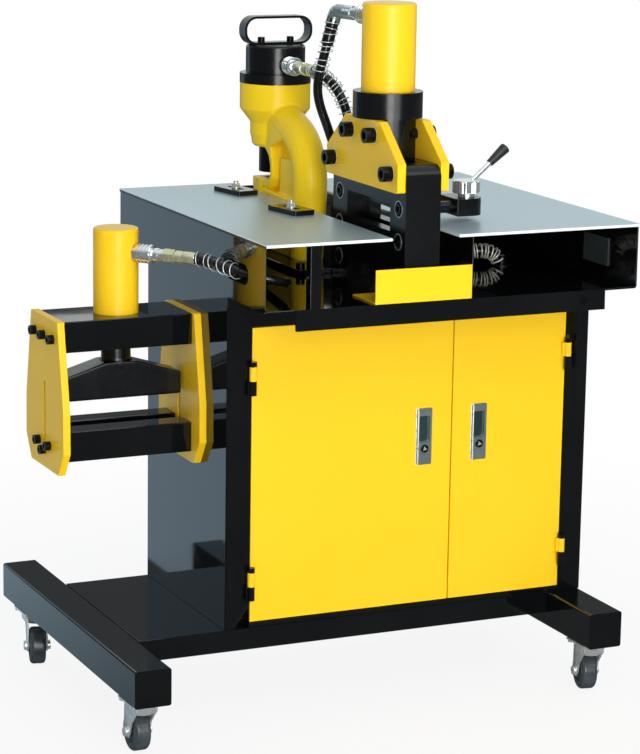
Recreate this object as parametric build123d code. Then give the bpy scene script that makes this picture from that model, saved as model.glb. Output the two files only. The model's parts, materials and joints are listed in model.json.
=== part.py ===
from build123d import *
import math
import os

# Busbar processing machine: punch, shear and bender on a wheeled cabinet.
# Millimetres. +X is the operator's right, the front faces -Y, +Z is up, the floor is Z = 0.

# Foot beams and base tray
CASTER_HEIGHT = 90.0
BEAM_SIZE = 60.0
BEAM_WALL = 3.0
BEAM_CORNER = 4.0
BEAM_LENGTH = 640.0
BEAM_FRONT_REACH = 142.0
BASE_EXTENSION = 206.0
VENT_RADIUS = 4.0
TRAY_SHEET = 4.0
TRAY_FLANGE = 36.0

# Casters
WHEEL_RADIUS = 31.5
WHEEL_WIDTH = 26.0
WHEEL_EDGE = 6.0
HUB_RECESS_RADIUS = 19.0
HUB_RECESS_DEPTH = 3.0
AXLE_RADIUS = 5.0
AXLE_HEAD_RADIUS = 8.0
AXLE_HEAD_HEIGHT = 5.0
KING_PIN_RADIUS = 6.0
KING_PIN_HEAD_RADIUS = 10.0
KING_PIN_HEAD_HEIGHT = 5.0
CASTER_PLATE = 58.0
CASTER_PLATE_SHEET = 3.0
FRONT_CASTER_INSET = 47.0
REAR_CASTER_INSET = 85.0
CASTER_TRAIL = 22.0
CASTER_BOLT = 6.0
CASTER_BOLT_PITCH = 47.0
CROWN_RADIUS = 24.0
CROWN_HEIGHT = 10.0
FORK_SHEET = 3.0
FORK_SIDE_GAP = 1.5
FORK_EYE_RADIUS = 11.0
FORK_HALF_LENGTH = 18.0
SWIVEL_FRONT_LEFT = 0.0
SWIVEL_REAR_LEFT = 166.0
SWIVEL_FRONT_RIGHT = -12.0
SWIVEL_REAR_RIGHT = 160.0

# Cabinet
CABINET_WIDTH = 648.0
CABINET_DEPTH = 342.0
CABINET_HEIGHT = 540.0
SHEET = 2.0
POST_WIDTH = 42.0
POST_RETURN = 22.0
SILL_HEIGHT = 8.0

# Doors
DOOR_BOTTOM = 10.0
DOOR_HEIGHT = 479.0
DOOR_SPLIT = 397.5
DOOR_GAP = 2.0
DOOR_PROUD = 1.0
DOOR_DEPTH = 14.0
DOOR_SHEET = 1.5
KNUCKLE_RADIUS = 6.0
KNUCKLE_HEIGHT = 23.0
KNUCKLE_WEB = 9.0
KNUCKLE_OFFSET = 0.6
PIN_RADIUS = 3.0
PIN_CAP_HEIGHT = 8.0
HINGE_HEIGHTS = (61.0, 395.5)

# Door latches
LATCH_WIDTH = 27.5
LATCH_HEIGHT = 94.0
LATCH_CORNER = 3.0
LATCH_OFFSET = 50.0
LATCH_CENTRE = 279.5
LATCH_FLANGE = 1.2
LATCH_RIM = 2.0
LATCH_DEPTH = 9.0
GRIP_DEPTH = 5.0
GRIP_WIDTH = 19.0
GRIP_HEIGHT = 44.0
GRIP_RISE = 12.0
KEY_RADIUS = 6.5
KEY_PROUD = 3.0
KEY_DROP = 20.0
KEYHOLE_WIDTH = 1.6
KEYHOLE_DEPTH = 2.0
CAM_LENGTH = 58.0
CAM_WIDTH = 14.0
CAM_SHEET = 2.5
CAM_SETBACK = 3.0
CAM_STAGGER = 5.0

# Head box, deck and tables
DECK_SHEET = 3.0
HEAD_HEIGHT = 97.0
TABLE_REACH = 150.0
TABLE_DEPTH = 627.0
TABLE_SHEET = 5.0
PANEL_SETBACK = 3.0
LEFT_TABLE_GAP = 27.0
RIGHT_TABLE_GAP = 28.0
PANEL_CORNER = 6.0
LIP_HEIGHT = 33.0
LIP_LEFT_INSET = 50.0
LIP_RIGHT_INSET = 59.0
LIP_CORNER = 2.0
LIP_SCREW = 6.0
LIP_SCREW_INSET = 41.0
LEG_SIZE = 18.0
LEFT_LEG_INSET = 75.0
PARTITION_INSET = 25.0
PARTITION_DEPTH = 200.0
COVER_WIDTH = 78.0
COVER_HEIGHT = 45.0
COVER_REACH = 23.0
COVER_RISE = 42.0
COVER_CORNER = 3.0
COVER_SHEET = 3.0

# Table stops
STOP_LENGTH = 80.0
STOP_WIDTH = 40.0
STOP_HEIGHT = 8.0
STOP_CORNER = 4.0
STOP_SLOT = 46.0
STOP_SLOT_WIDTH = 9.0
STOP_STUD = 8.0
STOP_STUD_PROUD = 20.0
STOP_INSET = 41.5
STOP_ANGLE = 10.0
REAR_STOP_Y = 369.0
FRONT_STOP_Y = 139.0

# Screws
CAP_HEAD_RATIO = 0.75
SOCKET_RATIO = 0.4
HEX_HEAD_RATIO = 0.65
HEX_RATIO = 0.8
WASHER_SHEET = 1.5
SCREW_END_GAP = 1.0
BLIND_WALL = 2.0

# Fits
RUNNING = 0.05
LOOSE = 0.35
SCREW_CLEARANCE = 0.1
BLADE_CLEARANCE = 0.4

# Punch
PUNCH_X = 240.0
PUNCH_Y = 372.0
PUNCH_WIDTH = 60.0
PUNCH_JAW = 125.5
PUNCH_GAP = 53.5
PUNCH_DEPTH = 42.0
PUNCH_FOOT_WIDTH = 124.0
PUNCH_FOOT_FRONT = 244.0
PUNCH_FOOT_BACK = 20.0
PUNCH_FOOT_SHEET = 8.0
PUNCH_FOOT_BOLT = 10.0
JAW_RADIUS = 30.0
JAW_UNDERSIDE = 78.0
NOSE_RADIUS = 41.5
NOSE_HEIGHT = 41.0
TAPER_HEIGHT = 23.0
BARREL_RADIUS = 59.5
BARREL_HEIGHT = 43.5
RING_RADIUS = 60.0
RING_HEIGHT = 16.5
CAP_RADIUS = 50.0
CAP_HEIGHT = 47.5
CAP_EDGE = 5.0
PUNCH_BORE = 38.0
PUNCH_ROD = 26.0
PUNCH_GLAND = 33.0
PUNCH_PISTON = 22.0
PUNCH_RAM_PROUD = 43.0
PUNCH_RAM_LIFT = 16.0
DIE_SEAT_RADIUS = 16.0
DIE_SEAT_DEPTH = 20.0
SLUG_RADIUS = 11.0
WEB_RECESS = 7.0
WEB_CORNER = 9.0
HANDLE_LENGTH = 123.0
HANDLE_HEIGHT = 47.5
HANDLE_WIDTH = 26.0
HANDLE_STRAP = 4.0
HANDLE_CORNER = 21.5
HANDLE_BOLT = 8.0
HANDLE_BOLT_PITCH = 53.0
HANDLE_BOLT_BITE = 12.0

# Shear
SHEAR_X = 267.0
SHEAR_Y = -6.0
SHEAR_PLATE = 20.0
SHEAR_GAP = 20.0
SHEAR_LENGTH = 264.0
SHEAR_HEIGHT = 209.0
SHEAR_CORNER = 20.0
SHEAR_SPACER = 38.0
ARCH_WIDTH = 144.0
ARCH_HEIGHT = 37.0
ARCH_CORNER = 14.0
WINDOW_WIDTH = 156.0
WINDOW_TOP = 43.0
BLADE_SEAT = 15.0
BLADE_OPENING = 28.0
BLADE_HEIGHT = 60.0
BLADE_RAKE = 4.0
TONGUE_WIDTH = 36.0
SIDE_PLATE = 14.0
SIDE_PLATE_LENGTH = 260.0
SIDE_PLATE_TOP = 124.0
SIDE_PLATE_DROP = 42.0
SIDE_PLATE_SHOULDER = 45.0
SIDE_PLATE_CORNER = 5.0
NECK_RADIUS = 50.0
NECK_HEIGHT = 61.0
COLLAR_RADIUS = 55.0
COLLAR_HEIGHT = 41.0
SHEAR_CYLINDER_RADIUS = 42.5
SHEAR_CYLINDER_HEIGHT = 137.0
SHEAR_BORE = 31.0
SHEAR_ROD = 22.0
SHEAR_PISTON = 20.0
CYLINDER_END = 12.0
CYLINDER_EDGE = 4.0
PISTON_TOP_GAP = 1.0
SHEAR_ROD_FOOT = 33.0
BIG_SCREW = 16.0
SHEAR_SCREW_BITE = 12.0
UPPER_SCREW_PITCH = 82.0
LOWER_SCREW_PITCH = 208.0
UPPER_SCREW_RISE = 38.0
LOWER_SCREW_DROP = 14.0
BODY_SCREW = 12.0
BODY_SCREW_PITCH = 214.0
BODY_SCREW_HEIGHTS = (34.0, 89.0, 140.0)
BODY_SCREW_SINK = 10.0
FRONT_PLATE_LEFT = 84.0
FRONT_PLATE_RIGHT = 82.0
FRONT_PLATE_HEIGHT = 53.5
FRONT_PLATE_SHEET = 3.0
FRONT_PLATE_FLANGE = 82.0
FRONT_PLATE_NOTCH_GAP = 1.0

# Hold-down beside the shear
ARM_REACH = 128.0
ARM_BACK = -17.0
ARM_RADIUS = 9.5
ARM_RISE = 22.5
ARM_ROOT = 14.0
ARM_ROOT_WIDTH = 44.0
ARM_ROOT_RISE = 13.0
ARM_ROOT_HEIGHT = 49.0
ARM_SCREW = 8.0
ARM_SCREW_PITCH = 26.0
ARM_SCREW_RISE = 51.0
CLAMP_LENGTH = 51.0
CLAMP_FRONT = 24.0
CLAMP_REAR = 43.0
CLAMP_RISE = 9.5
CLAMP_HEIGHT = 27.5
SPINDLE_INSET = 24.0
SPINDLE_RADIUS = 8.0
PAD_RADIUS = 15.0
PAD_HEIGHT = 7.5
PAD_RECESS = 8.0
NUT_COLLAR_RADIUS = 14.0
NUT_COLLAR_HEIGHT = 8.0
NUT_SEAT_GAP = 0.1
HUB_FLATS = 40.0
HUB_CORNER_RADIUS = 22.4
HUB_HEIGHT = 18.5
HUB_NOTCH = 4.0
SPINDLE_TOP_DROP = 1.0
LEVER_RADIUS = 4.0
LEVER_LENGTH = 53.5
LEVER_ANGLE = 40.6
GRIP_LENGTH = 38.0
GRIP_ROOT_RADIUS = 6.0
GRIP_END_RADIUS = 9.0
GRIP_EDGE = 3.0
GRIP_BORE_DEPTH = 12.0

# Bender
BENDER_SPAN = 241.0
BENDER_Y = 171.0
BENDER_PLATE = 12.0
BENDER_BOTTOM = 251.0
BENDER_TOP = 496.0
BENDER_TOP_HALF = 63.0
BENDER_WIDE_HALF = 90.0
BENDER_WIDE_LOW = 290.0
BENDER_WIDE_HIGH = 355.0
BENDER_BOTTOM_HALF = 65.0
BENDER_DEPTH = 112.0
BENDER_CORNER = 4.0
BEAM_BLOCK_HEIGHT = 50.0
BEAM_BLOCK_DROP = 1.0
BED_HEIGHT = 49.0
BED_RISE = 18.0
BED_GROOVE_WIDTH = 32.0
BED_GROOVE_DEPTH = 8.0
PRESS_RISE = 41.0
PRESS_HEIGHT = 57.0
PRESS_SIDE_HEIGHT = 38.0
PRESS_SIDE_GAP = 6.0
PRESS_DEPTH = 50.0
PRESS_SHOULDER = 70.0
PRESS_CORNER = 4.0
PRESS_HUB_RADIUS = 26.0
PRESS_HUB_GAP = 3.0
PRESS_STROKE = 40.0
GUIDE_PIN_RADIUS = 4.4
GUIDE_PIN_RISE = 18.0
GUIDE_SLOT_WIDTH = 9.5
GUIDE_SLOT_LOW = 294.0
GUIDE_SLOT_HIGH = 392.0
GUIDE_PIN_DEPTH = 9.0
BENDER_CYLINDER_RADIUS = 36.0
BENDER_CYLINDER_HEIGHT = 136.0
BENDER_BORE = 26.0
BENDER_ROD = 18.0
BENDER_PISTON = 18.0
BENDER_SCREW = 10.0
BENDER_TOP_SCREW_PITCH = 42.5
BENDER_TOP_SCREW_DROP = 4.0
BENDER_LOW_SCREW_HALF = 25.0
BENDER_LOW_SCREW_RISE = 22.0
BENDER_CENTRE_SCREW_DROP = 21.0

# Hydraulic lines
HOSE_RADIUS = 7.5
HOSE_HOLE = 3.0
BEND_HOLE = 7.5
BEND_CUT = 8.5
HOSE_LEAD = 16.0
BEND_SHARE = 0.45
GUARD_WIRE = 0.8
GUARD_GAP = 0.3
GUARD_PITCH = 9.5
SPRING_WIRE = 2.0
SPRING_TURNS = 7
SPRING_SEAT = 4.7
SAMPLES_PER_TURN = 16
SAMPLES_PER_ARC = 4
PORT_SINK = 2.0
PORT_FACE_RADIUS = 15.0
COUPLER_HEX = 22.0
COUPLER_HEX_LENGTH = 9.0
COLLAR_RIB_RADIUS = 13.5
COLLAR_RIB_DEPTH = 1.2
COLLAR_RIB_COUNT = 5
COLLAR_LENGTH = 30.0
COUPLER_NUT = 24.0
COUPLER_NUT_LENGTH = 16.0
ADAPTER_HEX = 20.0
ADAPTER_LENGTH = 20.0
FERRULE_RADIUS = 10.0
FERRULE_LENGTH = 36.0
ELBOW_RADIUS = 9.0
ELBOW_BEND = 16.0
ELBOW_LEAD = 50.0
ELBOW_DROP = 20.0
SHEAR_PORT_DROP = 24.0
PUNCH_PORT_RISE = 16.5
BENDER_PORT_DROP = 38.0
BENDER_PORT_ANGLE = -50.6
PANEL_HOLE_LENGTH = 88.0
PANEL_HOLE_HEIGHT = 32.0
DECK_COLLAR_HEIGHT = 16.0
DECK_COLLAR_FLANGE = 3.0
DECK_GUARD_RISE = 5.0

# Power pack
TANK_LEFT = 130.0
TANK_WIDTH = 360.0
TANK_FRONT = 40.0
TANK_DEPTH = 262.0
TANK_HEIGHT = 180.0
TANK_WALL = 3.0
TANK_LID = 5.0
VALVE_X = 316.0
VALVE_Y = 92.0
VALVE_WIDTH = 180.0
VALVE_DEPTH = 62.0
VALVE_HEIGHT = 60.0
VALVE_PORT_PITCH = 60.0
MOTOR_Y = 228.0
MOTOR_RADIUS = 62.0
MOTOR_HEIGHT = 190.0
MOTOR_FLANGE_RADIUS = 74.0
MOTOR_FLANGE_HEIGHT = 12.0
MOTOR_RIB_COUNT = 20
MOTOR_RIB_HEIGHT = 5.0
MOTOR_RIB_WIDTH = 3.0

# Where the cabinet's front left corner lies, so that the whole machine is centred
BENDER_SCREW_REACH = BENDER_SPAN + BENDER_SCREW
CABINET_X = (BENDER_SCREW_REACH - CABINET_WIDTH) / 2
BEAM_BACK_REACH = BEAM_LENGTH - BEAM_FRONT_REACH
FRONT_REACH = TABLE_REACH + HEX_HEAD_RATIO * LIP_SCREW
CABINET_Y = (FRONT_REACH - BEAM_BACK_REACH) / 2
CABINET_RIGHT = CABINET_X + CABINET_WIDTH
CABINET_REAR = CABINET_Y + CABINET_DEPTH

# Heights
BASE_TOP = CASTER_HEIGHT + BEAM_SIZE
CABINET_TOP = BASE_TOP + CABINET_HEIGHT
DECK_TOP = CABINET_TOP + DECK_SHEET
TABLE_BOTTOM = DECK_TOP + HEAD_HEIGHT
TABLE_TOP = TABLE_BOTTOM + TABLE_SHEET

# Fore and aft lines of the head box
TABLE_FRONT = CABINET_Y - TABLE_REACH
TABLE_REAR = TABLE_FRONT + TABLE_DEPTH
HEAD_FRONT = TABLE_FRONT + PANEL_SETBACK
HEAD_REAR = TABLE_REAR - PANEL_SETBACK

# Door lines
DOOR_FACE = CABINET_Y - DOOR_PROUD
DOOR_BACK = DOOR_FACE + DOOR_DEPTH
DOOR_LOW = BASE_TOP + DOOR_BOTTOM
DOOR_HIGH = DOOR_LOW + DOOR_HEIGHT
HINGE_Y = DOOR_FACE - KNUCKLE_RADIUS - KNUCKLE_OFFSET
LEFT_HINGE_X = CABINET_X + POST_WIDTH
RIGHT_HINGE_X = CABINET_RIGHT - POST_WIDTH
SPLIT_X = CABINET_X + DOOR_SPLIT

# Caster places
BEAM_FRONT = CABINET_Y - BEAM_FRONT_REACH
BEAM_REAR = BEAM_FRONT + BEAM_LENGTH
LEFT_BEAM_X = CABINET_X - BASE_EXTENSION + BEAM_SIZE / 2
RIGHT_BEAM_X = CABINET_RIGHT - BEAM_SIZE / 2
CASTERS = {
    "front_left": (LEFT_BEAM_X, BEAM_FRONT + FRONT_CASTER_INSET, SWIVEL_FRONT_LEFT),
    "rear_left": (LEFT_BEAM_X, BEAM_REAR - REAR_CASTER_INSET, SWIVEL_REAR_LEFT),
    "front_right": (RIGHT_BEAM_X, BEAM_FRONT + FRONT_CASTER_INSET, SWIVEL_FRONT_RIGHT),
    "rear_right": (RIGHT_BEAM_X, BEAM_REAR - REAR_CASTER_INSET, SWIVEL_REAR_RIGHT),
}

# Punch heights and axis
PUNCH_AXIS_X = CABINET_X + PUNCH_X
PUNCH_AXIS_Y = CABINET_Y + PUNCH_Y
JAW_TOP = DECK_TOP + PUNCH_JAW
NOSE_BOTTOM = JAW_TOP + PUNCH_GAP
NOSE_TOP = NOSE_BOTTOM + NOSE_HEIGHT
BARREL_BOTTOM = NOSE_TOP + TAPER_HEIGHT
BARREL_TOP = BARREL_BOTTOM + BARREL_HEIGHT
RING_TOP = BARREL_TOP + RING_HEIGHT
CAP_TOP = RING_TOP + CAP_HEIGHT
PUNCH_FLOOR = NOSE_BOTTOM + PUNCH_GLAND
PUNCH_PISTON_TOP = RING_TOP - PISTON_TOP_GAP - PUNCH_RAM_LIFT

# Shear heights and axis
SHEAR_AXIS_X = CABINET_X + SHEAR_X
SHEAR_AXIS_Y = CABINET_Y + SHEAR_Y
SHEAR_TOP = DECK_TOP + SHEAR_HEIGHT
SHEAR_HALF = SHEAR_GAP / 2 + SHEAR_PLATE
NECK_TOP = SHEAR_TOP + NECK_HEIGHT
COLLAR_TOP = NECK_TOP + COLLAR_HEIGHT
SHEAR_CYLINDER_TOP = COLLAR_TOP + SHEAR_CYLINDER_HEIGHT
BLADE_BOTTOM = TABLE_TOP + BLADE_OPENING
BLADE_TOP = BLADE_BOTTOM + BLADE_HEIGHT
SHEAR_ROD_BOTTOM = SHEAR_TOP + SHEAR_ROD_FOOT
SHEAR_PISTON_TOP = SHEAR_CYLINDER_TOP - CYLINDER_END - PISTON_TOP_GAP

# Table edges beside the shear
LEFT_TABLE_EDGE = SHEAR_AXIS_X - SHEAR_HALF - LEFT_TABLE_GAP
RIGHT_TABLE_EDGE = SHEAR_AXIS_X + SHEAR_HALF + RIGHT_TABLE_GAP

# Hold-down lines
ARM_X = SHEAR_AXIS_X + SHEAR_HALF
ARM_END = ARM_X + ARM_REACH
ARM_Y = SHEAR_AXIS_Y + ARM_BACK
SPINDLE_X = ARM_END - SPINDLE_INSET
CLAMP_BOTTOM = TABLE_TOP + CLAMP_RISE
CLAMP_TOP = CLAMP_BOTTOM + CLAMP_HEIGHT
NUT_BOTTOM = CLAMP_TOP + NUT_SEAT_GAP
HUB_BOTTOM = NUT_BOTTOM + NUT_COLLAR_HEIGHT
HUB_TOP = HUB_BOTTOM + HUB_HEIGHT

# Bender lines
BENDER_LEFT = CABINET_X - BENDER_SPAN
BENDER_X = CABINET_X - BENDER_SPAN / 2
BENDER_INNER = BENDER_SPAN / 2 - BENDER_PLATE
BENDER_AXIS_Y = CABINET_Y + BENDER_Y
BED_BOTTOM = BASE_TOP + BENDER_BOTTOM + BED_RISE
BED_TOP = BED_BOTTOM + BED_HEIGHT
PRESS_BOTTOM = BED_TOP + PRESS_RISE
PRESS_TOP = PRESS_BOTTOM + PRESS_HEIGHT
BEAM_BLOCK_TOP = BASE_TOP + BENDER_TOP - BEAM_BLOCK_DROP
BEAM_BLOCK_BOTTOM = BEAM_BLOCK_TOP - BEAM_BLOCK_HEIGHT
PRESS_HUB_TOP = BEAM_BLOCK_BOTTOM - PRESS_HUB_GAP
BENDER_CYLINDER_TOP = BEAM_BLOCK_TOP + BENDER_CYLINDER_HEIGHT
BENDER_PISTON_TOP = BENDER_CYLINDER_TOP - CYLINDER_END - PISTON_TOP_GAP

# Power pack heights
TANK_TOP = BASE_TOP + TANK_HEIGHT
VALVE_BOTTOM = TANK_TOP + TANK_LID
VALVE_TOP = VALVE_BOTTOM + VALVE_HEIGHT
PORT_TOP = VALVE_TOP + ADAPTER_LENGTH + FERRULE_LENGTH

GUARD_RADIUS = FERRULE_RADIUS + GUARD_GAP + GUARD_WIRE
FITTING_LENGTH = (
    COUPLER_HEX_LENGTH + COLLAR_LENGTH + COUPLER_NUT_LENGTH + ADAPTER_LENGTH + FERRULE_LENGTH
)


def at(x, y, z):
    """A point measured from the cabinet's front left corner."""
    return Vector(CABINET_X + x, CABINET_Y + y, z)


def block(x0, x1, y0, y1, z0, z1):
    return Pos((x0 + x1) / 2, (y0 + y1) / 2, (z0 + z1) / 2) * Box(x1 - x0, y1 - y0, z1 - z0)


def rod_x(x0, x1, y, z, radius):
    return Pos((x0 + x1) / 2, y, z) * Rot(0, 90, 0) * Cylinder(radius, x1 - x0)


def rod_y(x, y0, y1, z, radius):
    return Pos(x, (y0 + y1) / 2, z) * Rot(90, 0, 0) * Cylinder(radius, y1 - y0)


def rod_z(x, y, z0, z1, radius):
    return Pos(x, y, (z0 + z1) / 2) * Cylinder(radius, z1 - z0)


def cone_z(x, y, z0, z1, low_radius, high_radius):
    return Pos(x, y, (z0 + z1) / 2) * Cone(low_radius, high_radius, z1 - z0)


def hex_z(x, y, z0, z1, flats):
    sketch = Pos(x, y, z0) * RegularPolygon(flats / 2, 6, major_radius=False)
    return extrude(sketch, amount=z1 - z0, dir=(0, 0, 1))


def outline(points, radii=None):
    """A flat face inside a closed run of points, with rounded corners when radii are given."""
    if radii is None:
        return make_face(Polyline(*points, close=True))
    return make_face(FilletPolyline(*points, radius=radii, close=True))


def plate_x(face, x0, x1):
    """Raise a face drawn in Y and Z into a plate from x0 to x1."""
    return extrude(Plane.YZ.offset(x0) * face, amount=x1 - x0, dir=(1, 0, 0))


def plate_y(face, y0, y1):
    """Raise a face drawn in X and Z into a plate from y0 to y1."""
    return extrude(Plane.XZ.offset(-y0) * face, amount=y1 - y0, dir=(0, 1, 0))


def facing(point, direction):
    """A plane at a point whose normal is the given direction."""
    return Plane(origin=point, z_dir=direction)


def cap_screw(seat, size, grip):
    """A socket-head screw whose head stands on the seat plane."""
    head = Pos(0, 0, size / 2) * Cylinder(CAP_HEAD_RATIO * size, size)
    hexagon = RegularPolygon(SOCKET_RATIO * size, 6, major_radius=False)
    socket = Pos(0, 0, size / 2) * extrude(hexagon, amount=size)
    shank = Pos(0, 0, -grip / 2) * Cylinder(size / 2, grip)
    return seat * (head - socket + shank)


def hex_bolt(seat, size, grip):
    """A hexagon-head bolt whose head stands on the seat plane."""
    hexagon = RegularPolygon(HEX_RATIO * size, 6, major_radius=False)
    head = extrude(hexagon, amount=HEX_HEAD_RATIO * size)
    shank = Pos(0, 0, -grip / 2) * Cylinder(size / 2, grip)
    return seat * (head + shank)


def drilled(part, seats, size, depth):
    """Cut a clearance hole under each seat plane."""
    for seat in seats:
        part -= seat * (Pos(0, 0, -depth / 2) * Cylinder(size / 2 + SCREW_CLEARANCE, depth))
    return part


def route_line(points):
    """Straight runs joined by the largest arcs that fit between the points."""
    radii = []
    for before, corner, after in zip(points, points[1:], points[2:]):
        run_in = corner - before
        run_out = after - corner
        half_turn = math.radians(run_in.get_angle(run_out)) / 2
        radii.append(BEND_SHARE * min(run_in.length, run_out.length) / math.tan(half_turn))
    return Wire(FilletPolyline(*points, radius=radii).edges())


def tube_along(line, radius):
    """A round bar swept along a line."""
    return sweep(facing(line @ 0, line % 0) * Circle(radius), path=line)


def tangent_arcs(start, start_way, end, end_way):
    """Two arcs that leave the start and reach the end in the given directions."""
    chord = end - start
    bend = 2 * (1 - start_way.dot(end_way))
    lean = chord.dot(start_way + end_way)
    reach = (math.sqrt(lean * lean + bend * chord.dot(chord)) - lean) / bend
    joint = (start + end + (start_way - end_way) * reach) * 0.5
    joint_way = (end - end_way * reach - start - start_way * reach).normalized()
    return [
        Edge.make_tangent_arc(start, start_way, joint),
        Edge.make_tangent_arc(joint, joint_way, end),
    ]


def coil_samples(line, radius, begin, length, turns):
    """Points of a helix wound about a line, with the winding frame carried along without twist."""
    side = Vector(0, 0, 1).cross(line.tangent_at(begin, position_mode=PositionMode.LENGTH))
    if side.length < 0.1:
        side = Vector(1, 0, 0)
    samples = []
    count = turns * SAMPLES_PER_TURN
    for index in range(-1, count + 2):
        place = begin + length * index / count
        centre = line.position_at(place, position_mode=PositionMode.LENGTH)
        along = line.tangent_at(place, position_mode=PositionMode.LENGTH)
        side = (side - along * side.dot(along)).normalized()
        angle = 2 * math.pi * index / SAMPLES_PER_TURN
        samples.append(centre + (side * math.cos(angle) + along.cross(side) * math.sin(angle)) * radius)
    return samples


def coil(name, line, radius, wire, begin, length, turns):
    """One unbroken round wire wound about a line, with short straight ends."""
    samples = coil_samples(line, radius, begin, length, turns)
    stations = range(1, len(samples) - 1, SAMPLES_PER_ARC)
    ways = [(samples[i + 1] - samples[i - 1]).normalized() for i in stations]
    places = [samples[i] for i in stations]
    edges = [Edge.make_line(places[0] - ways[0] * 2 * wire, places[0])]
    for i in range(len(places) - 1):
        edges += tangent_arcs(places[i], ways[i], places[i + 1], ways[i + 1])
    edges.append(Edge.make_line(places[-1], places[-1] + ways[-1] * 2 * wire))
    gap = min(
        (samples[i] - samples[j]).length - 2 * wire
        for i in range(len(samples))
        for j in range(i + SAMPLES_PER_TURN // 2, len(samples))
    )
    print(name, "least gap between curls", round(gap, 2))
    return tube_along(Wire(edges), wire)


def return_spring(name, x, y, z0, z1, radius):
    """An upright spring whose end curls rest just clear of the faces below and above it."""
    axis = Wire([Edge.make_line((x, y, z0 - SPRING_WIRE), (x, y, z1 + SPRING_WIRE))])
    length = axis.length - 2 * SPRING_SEAT
    return coil(name, axis, radius, SPRING_WIRE, SPRING_SEAT, length, SPRING_TURNS)


def foot_beam(x, parts):
    shell = block(
        x - BEAM_SIZE / 2, x + BEAM_SIZE / 2, BEAM_FRONT, BEAM_REAR, CASTER_HEIGHT, BASE_TOP
    )
    shell = fillet(shell.edges().filter_by(Axis.Y), BEAM_CORNER)
    half = BEAM_SIZE / 2 - BEAM_WALL
    shell -= block(
        x - half,
        x + half,
        BEAM_FRONT + BEAM_WALL,
        BEAM_REAR - BEAM_WALL,
        CASTER_HEIGHT + BEAM_WALL,
        BASE_TOP - BEAM_WALL,
    )
    middle = (BEAM_FRONT + BEAM_REAR) / 2
    shell -= rod_z(x, middle, CASTER_HEIGHT, CASTER_HEIGHT + BEAM_WALL, VENT_RADIUS)
    seats = [seat for name in parts for seat in caster_bolt_seats(name)]
    return drilled(shell, seats, CASTER_BOLT, CASTER_PLATE_SHEET + BEAM_WALL)


def foot_beams():
    left = foot_beam(LEFT_BEAM_X, ("front_left", "rear_left"))
    right = foot_beam(RIGHT_BEAM_X, ("front_right", "rear_right"))
    return [left, right]


def base_tray():
    x0 = LEFT_BEAM_X + BEAM_SIZE / 2
    x1 = RIGHT_BEAM_X - BEAM_SIZE / 2
    tray = block(x0, x1, CABINET_Y, CABINET_REAR, BASE_TOP - TRAY_SHEET, BASE_TOP)
    tray += block(x0, x1, CABINET_Y, CABINET_Y + TRAY_SHEET, BASE_TOP - TRAY_FLANGE, BASE_TOP)
    tray += block(x0, x1, CABINET_REAR - TRAY_SHEET, CABINET_REAR, BASE_TOP - TRAY_FLANGE, BASE_TOP)
    return tray


def caster_bolt_seats(name):
    x, y, turn = CASTERS[name]
    reach = CASTER_BOLT_PITCH / 2
    z = CASTER_HEIGHT - CASTER_PLATE_SHEET
    return [
        facing((x + i * reach, y + j * reach, z), (0, 0, -1)) for i in (-1, 1) for j in (-1, 1)
    ]


def caster_plate(name):
    x, y, turn = CASTERS[name]
    half = CASTER_PLATE / 2
    z = CASTER_HEIGHT - CASTER_PLATE_SHEET
    plate = block(x - half, x + half, y - half, y + half, z, CASTER_HEIGHT)
    crown_bottom = z - CROWN_HEIGHT
    plate += rod_z(x, y, crown_bottom, z, KING_PIN_RADIUS)
    plate += rod_z(x, y, crown_bottom - KING_PIN_HEAD_HEIGHT, crown_bottom, KING_PIN_HEAD_RADIUS)
    return drilled(plate, caster_bolt_seats(name), CASTER_BOLT, CASTER_PLATE_SHEET)


def caster_fork(name):
    """Fork with its riveted axle, drawn trailing to the rear and then swivelled."""
    x, y, turn = CASTERS[name]
    top = CASTER_HEIGHT - CASTER_PLATE_SHEET
    fork = rod_z(0, 0, top - CROWN_HEIGHT, top, CROWN_RADIUS)
    leg = outline(
        [
            (-FORK_HALF_LENGTH, top),
            (FORK_HALF_LENGTH, top),
            (CASTER_TRAIL + FORK_EYE_RADIUS, WHEEL_RADIUS),
            (CASTER_TRAIL - FORK_EYE_RADIUS, WHEEL_RADIUS),
        ]
    )
    leg += Pos(CASTER_TRAIL, WHEEL_RADIUS) * Circle(FORK_EYE_RADIUS)
    inner = WHEEL_WIDTH / 2 + FORK_SIDE_GAP
    outer = inner + FORK_SHEET
    fork += plate_x(leg, inner, outer)
    fork += plate_x(leg, -outer, -inner)
    fork -= rod_z(0, 0, top - CROWN_HEIGHT, top, KING_PIN_RADIUS + RUNNING)
    head = outer + AXLE_HEAD_HEIGHT
    fork += rod_x(-head, head, CASTER_TRAIL, WHEEL_RADIUS, AXLE_RADIUS)
    for x0, x1 in ((-head, -outer), (outer, head)):
        fork += rod_x(x0, x1, CASTER_TRAIL, WHEEL_RADIUS, AXLE_HEAD_RADIUS)
    return Pos(x, y, 0) * Rot(0, 0, turn) * fork


def caster_wheel(name):
    x, y, turn = CASTERS[name]
    half = WHEEL_WIDTH / 2
    wheel = rod_x(-half, half, CASTER_TRAIL, WHEEL_RADIUS, WHEEL_RADIUS)
    wheel = fillet(wheel.edges().filter_by(GeomType.CIRCLE), WHEEL_EDGE)
    for x0, x1 in ((-half, HUB_RECESS_DEPTH - half), (half - HUB_RECESS_DEPTH, half)):
        ring = rod_x(x0, x1, CASTER_TRAIL, WHEEL_RADIUS, HUB_RECESS_RADIUS)
        wheel -= ring - rod_x(x0, x1, CASTER_TRAIL, WHEEL_RADIUS, AXLE_HEAD_RADIUS)
    wheel -= rod_x(-half, half, CASTER_TRAIL, WHEEL_RADIUS, AXLE_RADIUS + RUNNING)
    return Pos(x, y, 0) * Rot(0, 0, turn) * wheel


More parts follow.
